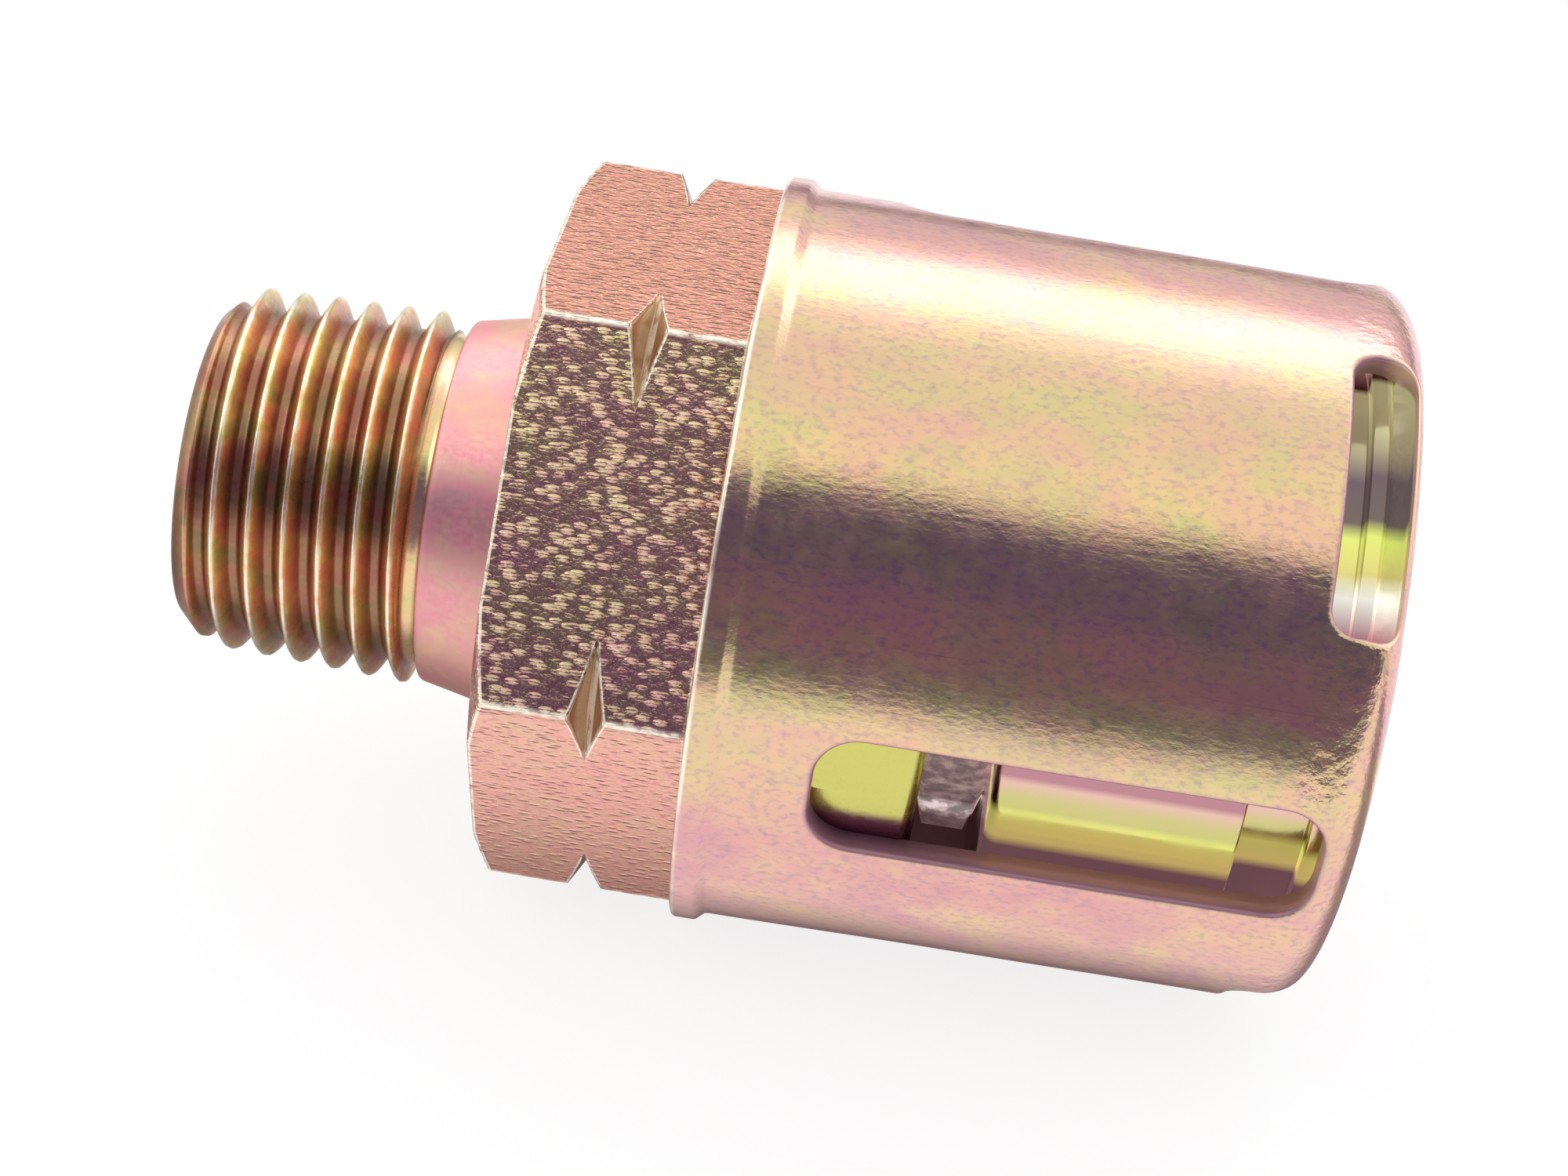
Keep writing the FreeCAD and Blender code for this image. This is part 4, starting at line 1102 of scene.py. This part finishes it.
def dress_object():
    zinc, sheet, bright = turned_zinc(), drawn_zinc(), bright_yellow_zinc()
    plated = bright_zinc()
    sprung = plain_metal("spring_steel", (0.40, 0.40, 0.41), 0.25, 0.40)
    stainless = plain_metal("stainless_sheet", (0.62, 0.61, 0.60), 0.25, 0.38, stretch=(12, 1, 1))
    brass = plain_metal("seat_brass", (0.80, 0.60, 0.28), 0.18, 0.30)
    black, white = rubber(), white_ptfe()
    stand_in(make_body(), "body", "housing", zinc)
    shroud = make_shroud()
    steady_shading(shroud)
    stand_in(shroud, "shroud", "housing", sheet)
    stand_in(make_piston(), "piston", "piston_group", bright)
    stand_in(make_guide_cup(), "guide_cup", "housing", bright)
    stand_in(make_poppet(), "poppet", "piston_group", plated)
    spring = make_spring()
    stand_in(spring, "spring", "housing", sprung)
    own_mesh(spring)
    for node, material in (
            ("inlet_screen", stainless), ("outlet_screen", stainless), ("silencing_pack", stainless),
            ("seat_ring", brass), ("seat_seal", black), ("sealing_disc", black), ("retaining_ring", sprung),
            ("lock_washer", sprung), ("poppet_nut", plated), ("disc_washer", plated), ("guide_ring", white)):
        dress(node, material)


# ---- studio ------------------------------------------------------------------------------------

DIM_FLOOR = (-88.0, -42.0)       # where the floor's reflection fades, towards the viewer, in millimetres
UNDER_REACH = 4.0                # half width of the shaded floor under the object
FLOOR_GLOW = 0.84
VIEWER_LIGHT = 1.0               # light of the backdrop, and light on matt surfaces


def make_floor():
    """Pale paper floor, which reflections see fading into a dim room towards the viewer."""
    low, reach = CAD_BOX[0].z, 3.0
    mesh = bpy.data.meshes.new("floor")
    corners = [(-reach, -reach, low), (reach, -reach, low), (reach, reach, low), (-reach, reach, low)]
    mesh.from_pydata(corners, [], [(0, 1, 2, 3)])
    add_object("floor", mesh)
    paint = Paint("floor")
    y = paint.parts(paint.millimetres)[1]
    reflected = paint.node("ShaderNodeLightPath").outputs["Is Glossy Ray"]
    dim = paint.times(paint.span(y, *DIM_FLOOR, 1.0, 0.0), reflected)
    paper = paint.mix(reflected, (0.98, 0.98, 0.98), (0.98, 0.93, 0.99))
    # Painted shadow: reflections see the floor dark under the object.
    under = paint.times(between(paint, y, -UNDER_REACH, UNDER_REACH, 3.5), reflected)
    paper = paint.mix(under, paper, (0.18, 0.13, 0.15))
    glow = paint.mix(dim, paper, (0.12, 0.11, 0.17))
    matt = paint.mix(dim, (0.18, 0.18, 0.18), (0.02, 0.02, 0.02))
    mesh.materials.append(paint.finish(matt, 0.9, metallic=0.0, glow=glow))
    paint.surface.inputs["Emission Strength"].default_value = FLOOR_GLOW


# degrees above the viewer's horizon, going over the top to the far horizon, and the light there
STUDIO = (
    (0, (0.20, 0.12, 0.24)), (18, (0.20, 0.12, 0.24)), (28, (0.125, 0.095, 0.215)),
    (49, (0.125, 0.095, 0.215)), (56, (1.05, 1.00, 0.95)), (76, (1.0, 0.96, 0.94)),
    (92, (0.94, 0.92, 0.92)), (106, (1.0, 1.0, 0.98)), (116, (1.4, 1.4, 1.4)), (122, (2.3, 2.3, 2.3)),
    (137, (2.3, 2.3, 2.3)), (145, (1.1, 1.05, 1.0)), (153, (0.88, 0.86, 0.84)),
    (169, (0.80, 0.78, 0.78)), (174, (0.35, 0.3, 0.3)), (180, (0.25, 0.2, 0.2)))


def make_world():
    """Soft studio: dim behind the viewer, pale walls, a long soft light overhead, an even backdrop."""
    world = bpy.data.worlds.new("studio")
    bpy.context.scene.world = world
    tree = NodeTree(world)
    background = tree.tree.nodes["Background"]
    _, y, z = tree.parts(tree.node("ShaderNodeTexCoord").outputs["Generated"])
    height = tree.math("ARCTAN2", z, tree.times(y, -1))
    brightest = max(max(light) for _, light in STUDIO)
    stops = [(turn / 180, tuple(channel / brightest for channel in light)) for turn, light in STUDIO]
    sky = tree.ramp(tree.span(height, 0.0, math.pi), stops)
    ray = tree.node("ShaderNodeLightPath").outputs
    even = tree.larger(ray["Is Camera Ray"], ray["Is Diffuse Ray"])
    tree.feed(background.inputs["Color"], tree.mix(even, sky, (VIEWER_LIGHT / brightest,) * 3))
    background.inputs["Strength"].default_value = brightest


def soft_lamp(name, place, aim, size, power):
    """Square soft lamp; place and aim in metres."""
    light = bpy.data.lights.new(name, "AREA")
    light.shape = "SQUARE"
    light.size = size
    light.energy = power
    lamp = add_object(name, light)
    lamp.location = place
    lamp.rotation_euler = (Vector(aim) - Vector(place)).to_track_quat("-Z", "Y").to_euler()


def make_camera():
    data = bpy.data.cameras.new("camera")
    data.lens = CAMERA_LENS
    data.clip_start = 0.005
    camera = add_object("camera", data)
    away = math.cos(CAMERA_ELEVATION)
    forward = Vector((-math.sin(CAMERA_AZIMUTH) * away, math.cos(CAMERA_AZIMUTH) * away,
                      -math.sin(CAMERA_ELEVATION)))
    level = forward.cross(Vector((0, 0, 1))).normalized()
    upright = level.cross(forward)
    right = level * math.cos(CAMERA_ROLL) + upright * math.sin(CAMERA_ROLL)
    up = right.cross(forward)
    turn = Matrix((right, up, -forward)).transposed().to_4x4()
    camera.matrix_world = Matrix.Translation(CAMERA_AT) @ turn
    bpy.context.scene.camera = camera


dress_object()
make_floor()
make_world()
soft_lamp("left_soft_box", (-0.24, -0.13, 0.26), (0.008, 0, 0), 0.18, 0.12)
make_camera()
bpy.context.scene.view_settings.view_transform = "Standard"
